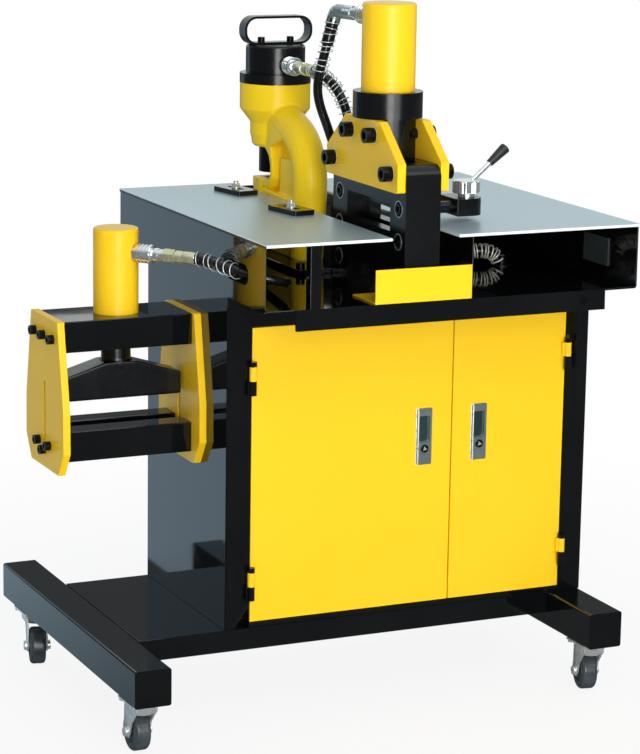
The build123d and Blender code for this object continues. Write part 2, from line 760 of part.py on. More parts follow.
def side_panel(x0):
    face = outline(
        [
            (CABINET_Y, BASE_TOP),
            (CABINET_REAR, BASE_TOP),
            (CABINET_REAR, CABINET_TOP),
            (HEAD_REAR, CABINET_TOP),
            (HEAD_REAR, TABLE_BOTTOM),
            (HEAD_FRONT, TABLE_BOTTOM),
            (HEAD_FRONT, CABINET_TOP),
            (CABINET_Y, CABINET_TOP),
        ],
        [0, 0, 0, PANEL_CORNER, 0, 0, PANEL_CORNER, 0],
    )
    return plate_x(face, x0, x0 + SHEET)


def left_side_panel():
    hole = Pos(PANEL_CROSSING.Y, PANEL_CROSSING.Z) * SlotOverall(PANEL_HOLE_LENGTH, PANEL_HOLE_HEIGHT)
    return side_panel(CABINET_X) - plate_x(hole, CABINET_X, CABINET_X + SHEET)


def right_side_panel():
    """Side panel with a cover plate on its inner face."""
    x0 = CABINET_RIGHT - SHEET
    cover = RectangleRounded(COVER_WIDTH, COVER_HEIGHT, COVER_CORNER)
    cover = Pos(CABINET_Y - COVER_REACH, DECK_TOP + COVER_RISE) * cover
    return [side_panel(x0), plate_x(cover, x0 - COVER_SHEET, x0)]


def back_panels():
    x0 = CABINET_X + SHEET
    x1 = CABINET_RIGHT - SHEET
    lower = block(x0, x1, CABINET_REAR - SHEET, CABINET_REAR, BASE_TOP, CABINET_TOP)
    upper = block(x0, x1, HEAD_REAR - SHEET, HEAD_REAR, DECK_TOP, TABLE_BOTTOM)
    return [lower, upper]


def post_knuckles(x, side):
    """Fixed lower half of each hinge, with the pin that carries the door."""
    knuckles = []
    for height in HINGE_HEIGHTS:
        low = DOOR_LOW + height - KNUCKLE_HEIGHT
        mid = low + KNUCKLE_HEIGHT
        high = mid + KNUCKLE_HEIGHT
        body = rod_z(x, HINGE_Y, low, mid, KNUCKLE_RADIUS)
        x0, x1 = sorted((x - side * KNUCKLE_WEB, x - side * DOOR_GAP))
        body += block(x0, x1, HINGE_Y, CABINET_Y, low, mid)
        body += rod_z(x, HINGE_Y, mid, high, PIN_RADIUS)
        body += rod_z(x, HINGE_Y, high, high + PIN_CAP_HEIGHT, KNUCKLE_RADIUS)
        knuckles.append(body)
    return knuckles


def door_post(x_outer, x_hinge, side):
    """Folded post: side is +1 when the door lies to its right."""
    x_inner = x_hinge
    x0, x1 = sorted((x_outer, x_inner))
    post = block(x0, x1, CABINET_Y, CABINET_Y + SHEET, BASE_TOP, CABINET_TOP)
    x2, x3 = sorted((x_inner, x_inner - side * SHEET))
    post += block(x2, x3, CABINET_Y, CABINET_Y + POST_RETURN, BASE_TOP, CABINET_TOP)
    for knuckle in post_knuckles(x_hinge, side):
        post += knuckle
    return post


def door_frame():
    left = door_post(CABINET_X + SHEET, LEFT_HINGE_X, 1)
    right = door_post(CABINET_RIGHT - SHEET, RIGHT_HINGE_X, -1)
    x0 = LEFT_HINGE_X
    x1 = RIGHT_HINGE_X
    sill = block(x0, x1, CABINET_Y, CABINET_Y + SHEET, BASE_TOP, BASE_TOP + SILL_HEIGHT)
    header = block(x0, x1, CABINET_Y, CABINET_Y + SHEET, DOOR_HIGH + DOOR_GAP, CABINET_TOP)
    return [left, right, sill, header]


def door_knuckles(x, side):
    knuckles = []
    for height in HINGE_HEIGHTS:
        low = DOOR_LOW + height
        high = low + KNUCKLE_HEIGHT
        body = rod_z(x, HINGE_Y, low, high, KNUCKLE_RADIUS)
        x0, x1 = sorted((x + side * DOOR_GAP, x + side * KNUCKLE_WEB))
        body += block(x0, x1, HINGE_Y, DOOR_FACE, low, high)
        body -= rod_z(x, HINGE_Y, low, high, PIN_RADIUS + RUNNING)
        knuckles.append(body)
    return knuckles


def door(x_hinge, side):
    """Pan-shaped door: side is +1 when it reaches to the right of its hinge."""
    x0, x1 = sorted((x_hinge + side * DOOR_GAP / 2, SPLIT_X - side * DOOR_GAP / 2))
    leaf = block(x0, x1, DOOR_FACE, DOOR_BACK, DOOR_LOW, DOOR_HIGH)
    leaf -= block(
        x0 + DOOR_SHEET,
        x1 - DOOR_SHEET,
        DOOR_FACE + DOOR_SHEET,
        DOOR_BACK,
        DOOR_LOW + DOOR_SHEET,
        DOOR_HIGH - DOOR_SHEET,
    )
    for knuckle in door_knuckles(x_hinge, side):
        leaf += knuckle
    width = LATCH_WIDTH - 2 * LATCH_RIM
    height = LATCH_HEIGHT - 2 * LATCH_RIM
    hole = Pos(latch_x(side), DOOR_LOW + LATCH_CENTRE) * RectangleRounded(width, height, LATCH_CORNER)
    return leaf - plate_y(hole, DOOR_FACE, DOOR_FACE + DOOR_SHEET)


def latch_x(side):
    return SPLIT_X - side * LATCH_OFFSET


def latch(side):
    """Flush latch body with a finger recess above the key."""
    x = latch_x(side)
    z = DOOR_LOW + LATCH_CENTRE
    rim = Pos(x, z) * RectangleRounded(LATCH_WIDTH, LATCH_HEIGHT, LATCH_CORNER)
    width = LATCH_WIDTH - 2 * LATCH_RIM - 2 * LOOSE
    height = LATCH_HEIGHT - 2 * LATCH_RIM - 2 * LOOSE
    core = Pos(x, z) * RectangleRounded(width, height, LATCH_CORNER)
    body = plate_y(rim, DOOR_FACE - LATCH_FLANGE, DOOR_FACE)
    body += plate_y(core, DOOR_FACE, DOOR_FACE + LATCH_DEPTH)
    recess = Pos(x, z + GRIP_RISE) * RectangleRounded(GRIP_WIDTH, GRIP_HEIGHT, LATCH_CORNER)
    body -= plate_y(recess, DOOR_FACE - LATCH_FLANGE, DOOR_FACE + GRIP_DEPTH)
    body -= rod_y(x, DOOR_FACE - LATCH_FLANGE, DOOR_FACE + LATCH_DEPTH, z - KEY_DROP, KEY_RADIUS + RUNNING)
    return body


def key_cam(side, setback):
    """Key cylinder with its cam hanging down, which is the unlocked position."""
    x = latch_x(side)
    z = DOOR_LOW + LATCH_CENTRE - KEY_DROP
    cam_front = DOOR_BACK + setback
    face = DOOR_FACE - LATCH_FLANGE - KEY_PROUD
    body = rod_y(x, face, cam_front, z, KEY_RADIUS)
    slit = block(
        x - KEYHOLE_WIDTH / 2,
        x + KEYHOLE_WIDTH / 2,
        face,
        face + KEYHOLE_DEPTH,
        z - KEY_RADIUS / 2,
        z + KEY_RADIUS / 2,
    )
    reach = CAM_LENGTH + CAM_WIDTH
    bar = Pos(x, z - CAM_LENGTH / 2) * SlotOverall(reach, CAM_WIDTH, rotation=90)
    return body - slit + plate_y(bar, cam_front, cam_front + CAM_SHEET)


def deck_plate():
    x0 = CABINET_X + SHEET
    x1 = CABINET_RIGHT - SHEET
    deck = block(x0, x1, HEAD_FRONT, HEAD_REAR, CABINET_TOP, DECK_TOP)
    lip_left = CABINET_X + LIP_LEFT_INSET
    lip_right = CABINET_RIGHT - LIP_RIGHT_INSET
    low = DECK_TOP - LIP_HEIGHT
    lip = outline(
        [(lip_left, low), (lip_right, low), (lip_right, DECK_TOP), (lip_left, DECK_TOP)],
        [LIP_CORNER, LIP_CORNER, 0, 0],
    )
    deck += plate_y(lip, TABLE_FRONT, HEAD_FRONT)
    deck = drilled(deck, [lip_screw_seat()], LIP_SCREW, PANEL_SETBACK)
    deck = drilled(deck, foot_bolt_seats(), PUNCH_FOOT_BOLT, PUNCH_FOOT_SHEET + DECK_SHEET)
    for point, spare in DECK_CROSSINGS:
        deck -= rod_z(point.X, point.Y, CABINET_TOP, DECK_TOP, HOSE_RADIUS + spare)
    return deck


def lip_screw_seat():
    x = CABINET_RIGHT - LIP_RIGHT_INSET - LIP_SCREW_INSET
    return facing((x, TABLE_FRONT, DECK_TOP - LIP_HEIGHT / 2), (0, -1, 0))


def table_supports():
    """Short square legs between the deck and the tables, and the sheet that closes off the right bay."""
    places = [
        (CABINET_X + LEFT_LEG_INSET, HEAD_FRONT),
        (LEFT_TABLE_EDGE - 2 * LEG_SIZE, HEAD_REAR - SHEET - LEG_SIZE),
        (RIGHT_TABLE_EDGE + LEG_SIZE, HEAD_REAR - SHEET - LEG_SIZE),
    ]
    pieces = [block(x, x + LEG_SIZE, y, y + LEG_SIZE, DECK_TOP, TABLE_BOTTOM) for x, y in places]
    x = RIGHT_TABLE_EDGE + PARTITION_INSET
    y = HEAD_FRONT + PARTITION_DEPTH
    return pieces + [block(x, x + SHEET, HEAD_FRONT, y, DECK_TOP, TABLE_BOTTOM)]


def left_table():
    table = block(CABINET_X, LEFT_TABLE_EDGE, TABLE_FRONT, TABLE_REAR, TABLE_BOTTOM, TABLE_TOP)
    return drilled(table, [stop_seat(REAR_STOP_Y), stop_seat(FRONT_STOP_Y)], STOP_STUD, TABLE_SHEET)


def right_table():
    return block(RIGHT_TABLE_EDGE, CABINET_RIGHT, TABLE_FRONT, TABLE_REAR, TABLE_BOTTOM, TABLE_TOP)


def stop_seat(y):
    x = LEFT_TABLE_EDGE - STOP_INSET
    return facing((x, CABINET_Y + y, TABLE_TOP), (0, 0, 1))


def table_stop(y):
    """Slotted stop, turned a little, that slides along its stud."""
    face = RectangleRounded(STOP_WIDTH, STOP_LENGTH, STOP_CORNER)
    face -= SlotOverall(STOP_SLOT, STOP_SLOT_WIDTH, rotation=90)
    plate = extrude(face, amount=STOP_HEIGHT, dir=(0, 0, 1))
    return stop_seat(y) * Rot(0, 0, STOP_ANGLE) * plate


def stop_stud(y):
    """Stud in the table with the nut that clamps the stop."""
    stud = Pos(0, 0, (STOP_STUD_PROUD - TABLE_SHEET) / 2) * Cylinder(
        STOP_STUD / 2, STOP_STUD_PROUD + TABLE_SHEET
    )
    washer = Pos(0, 0, STOP_HEIGHT + WASHER_SHEET / 2) * Cylinder(STOP_STUD, WASHER_SHEET)
    hexagon = RegularPolygon(HEX_RATIO * STOP_STUD, 6, major_radius=False)
    nut = Pos(0, 0, STOP_HEIGHT + WASHER_SHEET) * extrude(hexagon, amount=HEX_RATIO * STOP_STUD)
    return stop_seat(y) * (stud + washer + nut)


def foot_bolt_seats():
    """Seats of the bolts that hold the punch to the deck."""
    reach = PUNCH_FOOT_WIDTH / 2 - PUNCH_FOOT_BOLT
    rows = (PUNCH_AXIS_Y - PUNCH_FOOT_FRONT + 1.5 * PUNCH_FOOT_BOLT, PUNCH_AXIS_Y - PUNCH_DEPTH)
    z = DECK_TOP + PUNCH_FOOT_SHEET
    return [facing((PUNCH_AXIS_X + i * reach, y, z), (0, 0, 1)) for i in (-1, 1) for y in rows]


def punch_profile():
    """Side outline of the C-shaped casting, measured from the punch axis and the deck."""
    jaw = PUNCH_JAW
    nose = PUNCH_JAW + PUNCH_GAP
    barrel = nose + NOSE_HEIGHT + TAPER_HEIGHT
    corners = [
        (-176, PUNCH_FOOT_SHEET, 0),
        (-34, PUNCH_FOOT_SHEET, 0),
        (JAW_RADIUS, JAW_UNDERSIDE, 12),
        (JAW_RADIUS, jaw, 0),
        (-PUNCH_DEPTH, jaw, 8),
        (-PUNCH_DEPTH, nose, 14),
        (0, nose, 0),
        (0, barrel, 0),
        (-48, barrel, 0),
        (-66, barrel - 12, 8),
        (-106, barrel - 26, 26),
        (-140, barrel - 58, 22),
        (-154, barrel - 92, 26),
        (-147, 100, 40),
    ]
    points = [(PUNCH_AXIS_Y + y, DECK_TOP + z) for y, z, radius in corners]
    return outline(points, [radius for y, z, radius in corners])


def punch_recess():
    """Outline of the shallow recess in each flank of the casting."""
    jaw = PUNCH_JAW
    nose = PUNCH_JAW + PUNCH_GAP
    corners = [
        (-62, jaw - 6),
        (-62, nose + 18),
        (-86, nose + 22),
        (-118, nose - 2),
        (-136, nose - 28),
        (-134, jaw - 6),
    ]
    points = [(PUNCH_AXIS_Y + y, DECK_TOP + z) for y, z in corners]
    return outline(points, [WEB_CORNER] * len(corners))


def punch_frame():
    """Cast frame and the plate it stands on."""
    x = PUNCH_AXIS_X
    y = PUNCH_AXIS_Y
    half = PUNCH_WIDTH / 2
    body = plate_x(punch_profile(), x - half, x + half)
    for x0, x1 in ((x - half, x - half + WEB_RECESS), (x + half - WEB_RECESS, x + half)):
        body -= plate_x(punch_recess(), x0, x1)
    body += rod_z(x, y, DECK_TOP + JAW_UNDERSIDE, JAW_TOP, JAW_RADIUS)
    body += rod_z(x, y, NOSE_BOTTOM, NOSE_TOP, NOSE_RADIUS)
    body += cone_z(x, y, NOSE_TOP, BARREL_BOTTOM, NOSE_RADIUS, BARREL_RADIUS)
    body += rod_z(x, y, BARREL_BOTTOM, BARREL_TOP, BARREL_RADIUS)
    body -= rod_z(x, y, PUNCH_FLOOR, BARREL_TOP, PUNCH_BORE)
    body -= rod_z(x, y, NOSE_BOTTOM, PUNCH_FLOOR, PUNCH_ROD + RUNNING)
    body -= rod_z(x, y, JAW_TOP - DIE_SEAT_DEPTH, JAW_TOP, DIE_SEAT_RADIUS)
    body -= rod_z(x, y, DECK_TOP, JAW_TOP, SLUG_RADIUS)
    reach = PUNCH_FOOT_WIDTH / 2
    front = y - PUNCH_FOOT_FRONT
    back = y - PUNCH_FOOT_BACK
    foot = block(x - reach, x + reach, front, back, DECK_TOP, DECK_TOP + PUNCH_FOOT_SHEET)
    return [body, drilled(foot, foot_bolt_seats(), PUNCH_FOOT_BOLT, PUNCH_FOOT_SHEET)]


def punch_cap():
    x = PUNCH_AXIS_X
    y = PUNCH_AXIS_Y
    cap = rod_z(x, y, RING_TOP, CAP_TOP, CAP_RADIUS)
    cap = fillet(cap.edges().sort_by(Axis.Z)[-1], CAP_EDGE)
    cap += rod_z(x, y, BARREL_TOP, RING_TOP, RING_RADIUS)
    cap -= rod_z(x, y, BARREL_TOP, RING_TOP, PUNCH_BORE)
    cap = drilled(cap, handle_bolt_seats(), HANDLE_BOLT, HANDLE_STRAP + HANDLE_BOLT_BITE)
    return cap - port_face(PUNCH_PORT, PUNCH_WAY)


def handle_bolt_seats():
    reach = HANDLE_BOLT_PITCH / 2
    z = CAP_TOP + HANDLE_STRAP
    return [facing((PUNCH_AXIS_X + i * reach, PUNCH_AXIS_Y, z), (0, 0, 1)) for i in (-1, 1)]


def punch_handle():
    """Closed strap loop that stands on the cap."""
    z = CAP_TOP + HANDLE_HEIGHT / 2
    outer = RectangleRounded(HANDLE_LENGTH, HANDLE_HEIGHT, HANDLE_CORNER)
    inner = RectangleRounded(
        HANDLE_LENGTH - 2 * HANDLE_STRAP,
        HANDLE_HEIGHT - 2 * HANDLE_STRAP,
        HANDLE_CORNER - HANDLE_STRAP,
    )
    face = Pos(PUNCH_AXIS_X, z) * (outer - inner)
    half = HANDLE_WIDTH / 2
    strap = plate_y(face, PUNCH_AXIS_Y - half, PUNCH_AXIS_Y + half)
    return drilled(strap, handle_bolt_seats(), HANDLE_BOLT, HANDLE_STRAP)


def punch_ram():
    x = PUNCH_AXIS_X
    y = PUNCH_AXIS_Y
    bottom = NOSE_BOTTOM - PUNCH_RAM_PROUD
    ram = rod_z(x, y, bottom, PUNCH_PISTON_TOP, PUNCH_ROD)
    ram += rod_z(x, y, PUNCH_PISTON_TOP - PUNCH_PISTON, PUNCH_PISTON_TOP, PUNCH_BORE - RUNNING)
    return ram - rod_z(x, y, bottom, bottom + DIE_SEAT_DEPTH, SLUG_RADIUS)


def shear_body():
    """Two slotted plates held apart by a spacer at each end."""
    x = SHEAR_AXIS_X
    y0 = SHEAR_AXIS_Y - SHEAR_LENGTH / 2
    y1 = SHEAR_AXIS_Y + SHEAR_LENGTH / 2
    corners = [(y0, DECK_TOP), (y1, DECK_TOP), (y1, SHEAR_TOP), (y0, SHEAR_TOP)]
    face = outline(corners, [0, 0, SHEAR_CORNER, SHEAR_CORNER])
    arch = [
        (SHEAR_AXIS_Y - ARCH_WIDTH / 2, DECK_TOP),
        (SHEAR_AXIS_Y + ARCH_WIDTH / 2, DECK_TOP),
        (SHEAR_AXIS_Y + ARCH_WIDTH / 2, DECK_TOP + ARCH_HEIGHT),
        (SHEAR_AXIS_Y - ARCH_WIDTH / 2, DECK_TOP + ARCH_HEIGHT),
    ]
    face -= outline(arch, [0, 0, ARCH_CORNER, ARCH_CORNER])
    low = TABLE_TOP - BLADE_SEAT
    high = TABLE_TOP + WINDOW_TOP
    face -= Pos(SHEAR_AXIS_Y, (low + high) / 2) * Rectangle(WINDOW_WIDTH, high - low)
    gap = SHEAR_GAP / 2
    left = plate_x(face, x - SHEAR_HALF, x - gap)
    right = plate_x(face, x + gap, x + SHEAR_HALF)
    front = block(x - gap, x + gap, y0, y0 + SHEAR_SPACER, DECK_TOP, SHEAR_TOP - SHEAR_CORNER)
    rear = block(x - gap, x + gap, y1 - SHEAR_SPACER, y1, DECK_TOP, SHEAR_TOP - SHEAR_CORNER)
    left = drilled(left, side_screw_seats(-1), BIG_SCREW, SIDE_PLATE + SHEAR_PLATE)
    right = drilled(right, side_screw_seats(1), BIG_SCREW, SIDE_PLATE + SHEAR_PLATE)
    right = drilled(right, arm_screw_seats(), ARM_SCREW, ARM_ROOT + SHEAR_PLATE - BLIND_WALL)
    solids = []
    for part, side in ((left, -1), (right, 1)):
        for seat in body_screw_seats(side):
            part -= seat * (Pos(0, 0, BODY_SCREW_SINK / 2) * Cylinder(BODY_SCREW, BODY_SCREW_SINK))
        solids.append(drilled(part, body_screw_seats(side), BODY_SCREW, SHEAR_PLATE))
    return solids + [front, rear]


def side_screw_seats(side):
    """Seats of the large screws in one yellow side plate."""
    x = SHEAR_AXIS_X + side * (SHEAR_HALF + SIDE_PLATE)
    seats = []
    for pitch, z in (
        (UPPER_SCREW_PITCH, SHEAR_TOP + UPPER_SCREW_RISE),
        (LOWER_SCREW_PITCH, SHEAR_TOP - LOWER_SCREW_DROP),
    ):
        for end in (-1, 1):
            seats.append(facing((x, SHEAR_AXIS_Y + end * pitch / 2, z), (side, 0, 0)))
    return seats


def body_screw_seats(side):
    """Seats of the sunk screws that clamp the body plates to the spacers."""
    x = SHEAR_AXIS_X + side * (SHEAR_HALF - BODY_SCREW_SINK)
    return [
        facing((x, SHEAR_AXIS_Y + end * BODY_SCREW_PITCH / 2, DECK_TOP + z), (side, 0, 0))
        for z in BODY_SCREW_HEIGHTS
        for end in (-1, 1)
    ]


def shear_lower_blades():
    """Fixed blades, one let into the window sill of each body plate."""
    y0 = SHEAR_AXIS_Y - WINDOW_WIDTH / 2
    y1 = SHEAR_AXIS_Y + WINDOW_WIDTH / 2
    gap = SHEAR_GAP / 2
    blades = []
    for x0, x1 in ((-SHEAR_HALF, -gap), (gap, SHEAR_HALF)):
        blades.append(
            block(SHEAR_AXIS_X + x0, SHEAR_AXIS_X + x1, y0, y1, TABLE_TOP - BLADE_SEAT, TABLE_TOP)
        )
    return blades


def shear_upper_blade():
    """Moving blade with a raked edge and the tongue that meets the ram."""
    half = SHEAR_GAP / 2 - BLADE_CLEARANCE
    y0 = SHEAR_AXIS_Y - SHEAR_LENGTH / 2 + SHEAR_SPACER + BLADE_CLEARANCE
    y1 = SHEAR_AXIS_Y + SHEAR_LENGTH / 2 - SHEAR_SPACER - BLADE_CLEARANCE
    tongue0 = SHEAR_AXIS_Y - TONGUE_WIDTH / 2
    tongue1 = SHEAR_AXIS_Y + TONGUE_WIDTH / 2
    face = outline(
        [
            (y0, BLADE_BOTTOM),
            (y1, BLADE_BOTTOM + BLADE_RAKE),
            (y1, BLADE_TOP),
            (tongue1, BLADE_TOP),
            (tongue1, SHEAR_ROD_BOTTOM),
            (tongue0, SHEAR_ROD_BOTTOM),
            (tongue0, BLADE_TOP),
            (y0, BLADE_TOP),
        ]
    )
    return plate_x(face, SHEAR_AXIS_X - half, SHEAR_AXIS_X + half)


def shear_side_plates():
    y = SHEAR_AXIS_Y
    low = SHEAR_TOP - SIDE_PLATE_DROP
    high = NECK_TOP
    half = SIDE_PLATE_LENGTH / 2
    top = SIDE_PLATE_TOP / 2
    shoulder = low + SIDE_PLATE_SHOULDER
    face = outline(
        [
            (y - half, low),
            (y + half, low),
            (y + half, shoulder),
            (y + top, high),
            (y - top, high),
            (y - half, shoulder),
        ],
        [SIDE_PLATE_CORNER] * 6,
    )
    plates = []
    for side in (-1, 1):
        x0, x1 = sorted((side * SHEAR_HALF, side * (SHEAR_HALF + SIDE_PLATE)))
        plate = plate_x(face, SHEAR_AXIS_X + x0, SHEAR_AXIS_X + x1)
        plates.append(drilled(plate, side_screw_seats(side), BIG_SCREW, SIDE_PLATE))
    return plates


def shear_collar():
    """Neck with two flats under a round collar, bored for the ram."""
    x = SHEAR_AXIS_X
    y = SHEAR_AXIS_Y
    neck = rod_z(x, y, SHEAR_TOP, NECK_TOP, NECK_RADIUS)
    neck &= block(
        x - SHEAR_HALF, x + SHEAR_HALF, y - NECK_RADIUS, y + NECK_RADIUS, SHEAR_TOP, NECK_TOP
    )
    collar = neck + rod_z(x, y, NECK_TOP, COLLAR_TOP, COLLAR_RADIUS)
    collar = drilled(collar, side_screw_seats(-1), BIG_SCREW, SIDE_PLATE + SHEAR_SCREW_BITE)
    collar = drilled(collar, side_screw_seats(1), BIG_SCREW, SIDE_PLATE + SHEAR_SCREW_BITE)
    return collar - rod_z(x, y, SHEAR_TOP, COLLAR_TOP, SHEAR_ROD + RUNNING)


def shear_cylinder():
    x = SHEAR_AXIS_X
    y = SHEAR_AXIS_Y
    body = rod_z(x, y, COLLAR_TOP, SHEAR_CYLINDER_TOP, SHEAR_CYLINDER_RADIUS)
    body = fillet(body.edges().sort_by(Axis.Z)[-1], CYLINDER_EDGE)
    body -= rod_z(x, y, COLLAR_TOP, SHEAR_CYLINDER_TOP - CYLINDER_END, SHEAR_BORE)
    return body - port_face(SHEAR_PORT, SHEAR_WAY)


def shear_ram():
    x = SHEAR_AXIS_X
    y = SHEAR_AXIS_Y
    ram = rod_z(x, y, SHEAR_ROD_BOTTOM, SHEAR_PISTON_TOP, SHEAR_ROD)
    low = SHEAR_PISTON_TOP - SHEAR_PISTON
    return ram + rod_z(x, y, low, SHEAR_PISTON_TOP, SHEAR_BORE - RUNNING)


def shear_front_plate():
    """Folded guard in front of the shear, its flange notched round the body."""
    x0 = SHEAR_AXIS_X - FRONT_PLATE_LEFT
    x1 = SHEAR_AXIS_X + FRONT_PLATE_RIGHT
    y0 = TABLE_FRONT
    sheet = FRONT_PLATE_SHEET
    plate = block(x0, x1, y0, y0 + sheet, DECK_TOP, DECK_TOP + FRONT_PLATE_HEIGHT)
    plate += block(x0, x1, y0, y0 + FRONT_PLATE_FLANGE, DECK_TOP, DECK_TOP + sheet)
    notch = SHEAR_HALF + FRONT_PLATE_NOTCH_GAP
    body_front = SHEAR_AXIS_Y - SHEAR_LENGTH / 2 - FRONT_PLATE_NOTCH_GAP
    plate -= block(
        SHEAR_AXIS_X - notch,
        SHEAR_AXIS_X + notch,
        body_front,
        y0 + FRONT_PLATE_FLANGE,
        DECK_TOP,
        DECK_TOP + sheet,
    )
    return plate


def hold_down_arm():
    """Round arm from the shear to a clamp block whose front right corner is rounded about the screw."""
    x0 = ARM_END - CLAMP_LENGTH
    y0 = ARM_Y - CLAMP_FRONT
    y1 = ARM_Y + CLAMP_REAR
    face = outline([(x0, y0), (ARM_END, y0), (ARM_END, y1), (x0, y1)], [0, SPINDLE_INSET, 0, 0])
    arm = extrude(Pos(0, 0, CLAMP_BOTTOM) * face, amount=CLAMP_HEIGHT, dir=(0, 0, 1))
    arm += rod_x(ARM_X, x0, ARM_Y, TABLE_TOP + ARM_RISE, ARM_RADIUS)
    half = ARM_ROOT_WIDTH / 2
    low = TABLE_TOP + ARM_ROOT_RISE
    arm += block(ARM_X, ARM_X + ARM_ROOT, ARM_Y - half, ARM_Y + half, low, low + ARM_ROOT_HEIGHT)
    arm -= rod_z(SPINDLE_X, ARM_Y, CLAMP_BOTTOM, CLAMP_TOP, SPINDLE_RADIUS + LOOSE)
    arm -= rod_z(SPINDLE_X, ARM_Y, CLAMP_BOTTOM, CLAMP_BOTTOM + PAD_RECESS, PAD_RADIUS + LOOSE)
    return drilled(arm, arm_screw_seats(), ARM_SCREW, ARM_ROOT)


def arm_screw_seats():
    z = TABLE_TOP + ARM_SCREW_RISE
    reach = ARM_SCREW_PITCH / 2
    return [facing((ARM_X + ARM_ROOT, ARM_Y + end * reach, z), (1, 0, 0)) for end in (-1, 1)]


def hold_down_pad():
    """Round pad drawn up into the clamp block, with the screw stem that the nut drives."""
    pad = rod_z(SPINDLE_X, ARM_Y, CLAMP_BOTTOM, CLAMP_BOTTOM + PAD_HEIGHT, PAD_RADIUS)
    return pad + rod_z(SPINDLE_X, ARM_Y, CLAMP_BOTTOM, HUB_TOP - SPINDLE_TOP_DROP, SPINDLE_RADIUS)


def lever_plane():
    """Plane at the middle of the hub whose normal runs along the lever."""
    angle = math.radians(LEVER_ANGLE)
    middle = (SPINDLE_X, ARM_Y, (HUB_BOTTOM + HUB_TOP) / 2)
    return facing(middle, (math.cos(angle), 0, math.sin(angle)))


def hold_down_nut():
    """Notched hexagon nut on a round collar, with a sloping lever rod."""
    nut = hex_z(SPINDLE_X, ARM_Y, HUB_BOTTOM, HUB_TOP, HUB_FLATS)
    nut &= rod_z(SPINDLE_X, ARM_Y, HUB_BOTTOM, HUB_TOP, HUB_CORNER_RADIUS)
    for turn in (0, 60, 120):
        slot = Box(2 * HUB_FLATS, HUB_NOTCH, HUB_NOTCH)
        nut -= Pos(SPINDLE_X, ARM_Y, HUB_TOP) * Rot(0, 0, turn) * slot
    nut += rod_z(SPINDLE_X, ARM_Y, NUT_BOTTOM, HUB_BOTTOM, NUT_COLLAR_RADIUS)
    length = LEVER_LENGTH + GRIP_BORE_DEPTH
    nut += lever_plane() * (Pos(0, 0, length / 2) * Cylinder(LEVER_RADIUS, length))
    return nut - rod_z(SPINDLE_X, ARM_Y, NUT_BOTTOM, HUB_TOP, SPINDLE_RADIUS + RUNNING)


def hold_down_grip():
    middle = LEVER_LENGTH + GRIP_LENGTH / 2
    grip = Pos(0, 0, middle) * Cone(GRIP_ROOT_RADIUS, GRIP_END_RADIUS, GRIP_LENGTH)
    grip = fillet(grip.edges().filter_by(GeomType.CIRCLE).sort_by(Axis.Z)[-1], GRIP_EDGE)
    bore = Pos(0, 0, LEVER_LENGTH + GRIP_BORE_DEPTH / 2) * Cylinder(
        LEVER_RADIUS + SCREW_CLEARANCE, GRIP_BORE_DEPTH
    )
    return lever_plane() * (grip - bore)


def bender_side_plates():
    y = BENDER_AXIS_Y
    corners = [
        (-BENDER_BOTTOM_HALF, BENDER_BOTTOM),
        (BENDER_BOTTOM_HALF, BENDER_BOTTOM),
        (BENDER_WIDE_HALF, BENDER_WIDE_LOW),
        (BENDER_WIDE_HALF, BENDER_WIDE_HIGH),
        (BENDER_TOP_HALF, BENDER_TOP),
        (-BENDER_TOP_HALF, BENDER_TOP),
        (-BENDER_WIDE_HALF, BENDER_WIDE_HIGH),
        (-BENDER_WIDE_HALF, BENDER_WIDE_LOW),
    ]
    face = outline([(y + dy, BASE_TOP + z) for dy, z in corners], [BENDER_CORNER] * len(corners))
    middle = BASE_TOP + (GUIDE_SLOT_LOW + GUIDE_SLOT_HIGH) / 2
    slot = SlotOverall(GUIDE_SLOT_HIGH - GUIDE_SLOT_LOW, GUIDE_SLOT_WIDTH, rotation=90)
    face -= Pos(y, middle) * slot
    left = plate_x(face, BENDER_LEFT, BENDER_LEFT + BENDER_PLATE)
    right = plate_x(face, CABINET_X - BENDER_PLATE, CABINET_X)
    return [drilled(left, bender_screw_seats(), BENDER_SCREW, BENDER_PLATE), right]


def bender_screw_seats():
    """Seats of the screws in the outer side plate: three into the beam, three into the bed."""
    beam = (BEAM_BLOCK_TOP + BEAM_BLOCK_BOTTOM) / 2 - BENDER_TOP_SCREW_DROP
    bed = BED_BOTTOM + BENDER_LOW_SCREW_RISE
    places = [
        (-BENDER_TOP_SCREW_PITCH, beam),
        (0, beam),
        (BENDER_TOP_SCREW_PITCH, beam),
        (-BENDER_LOW_SCREW_HALF, bed),
        (BENDER_LOW_SCREW_HALF, bed),
        (0, bed - BENDER_CENTRE_SCREW_DROP + BENDER_SCREW),
    ]
    return [facing((BENDER_LEFT, BENDER_AXIS_Y + dy, z), (-1, 0, 0)) for dy, z in places]


def bender_bar(z0, z1):
    """A block that fills the width between the bender's side plates."""
    half = BENDER_DEPTH / 2
    y = BENDER_AXIS_Y
    bar = block(BENDER_X - BENDER_INNER, BENDER_X + BENDER_INNER, y - half, y + half, z0, z1)
    return drilled(bar, bender_screw_seats(), BENDER_SCREW, BENDER_PLATE + 2 * BENDER_SCREW)


def bender_top_beam():
    beam = bender_bar(BEAM_BLOCK_BOTTOM, BEAM_BLOCK_TOP)
    return beam - rod_z(
        BENDER_X, BENDER_AXIS_Y, BEAM_BLOCK_BOTTOM, BEAM_BLOCK_TOP, BENDER_ROD + RUNNING
    )


def bender_bed():
    """Lower block with a die groove along its top."""
    half = BED_GROOVE_WIDTH / 2
    groove = block(
        BENDER_X - BENDER_INNER,
        BENDER_X + BENDER_INNER,
        BENDER_AXIS_Y - half,
        BENDER_AXIS_Y + half,
        BED_TOP - BED_GROOVE_DEPTH,
        BED_TOP,
    )
    return bender_bar(BED_BOTTOM, BED_TOP) - groove


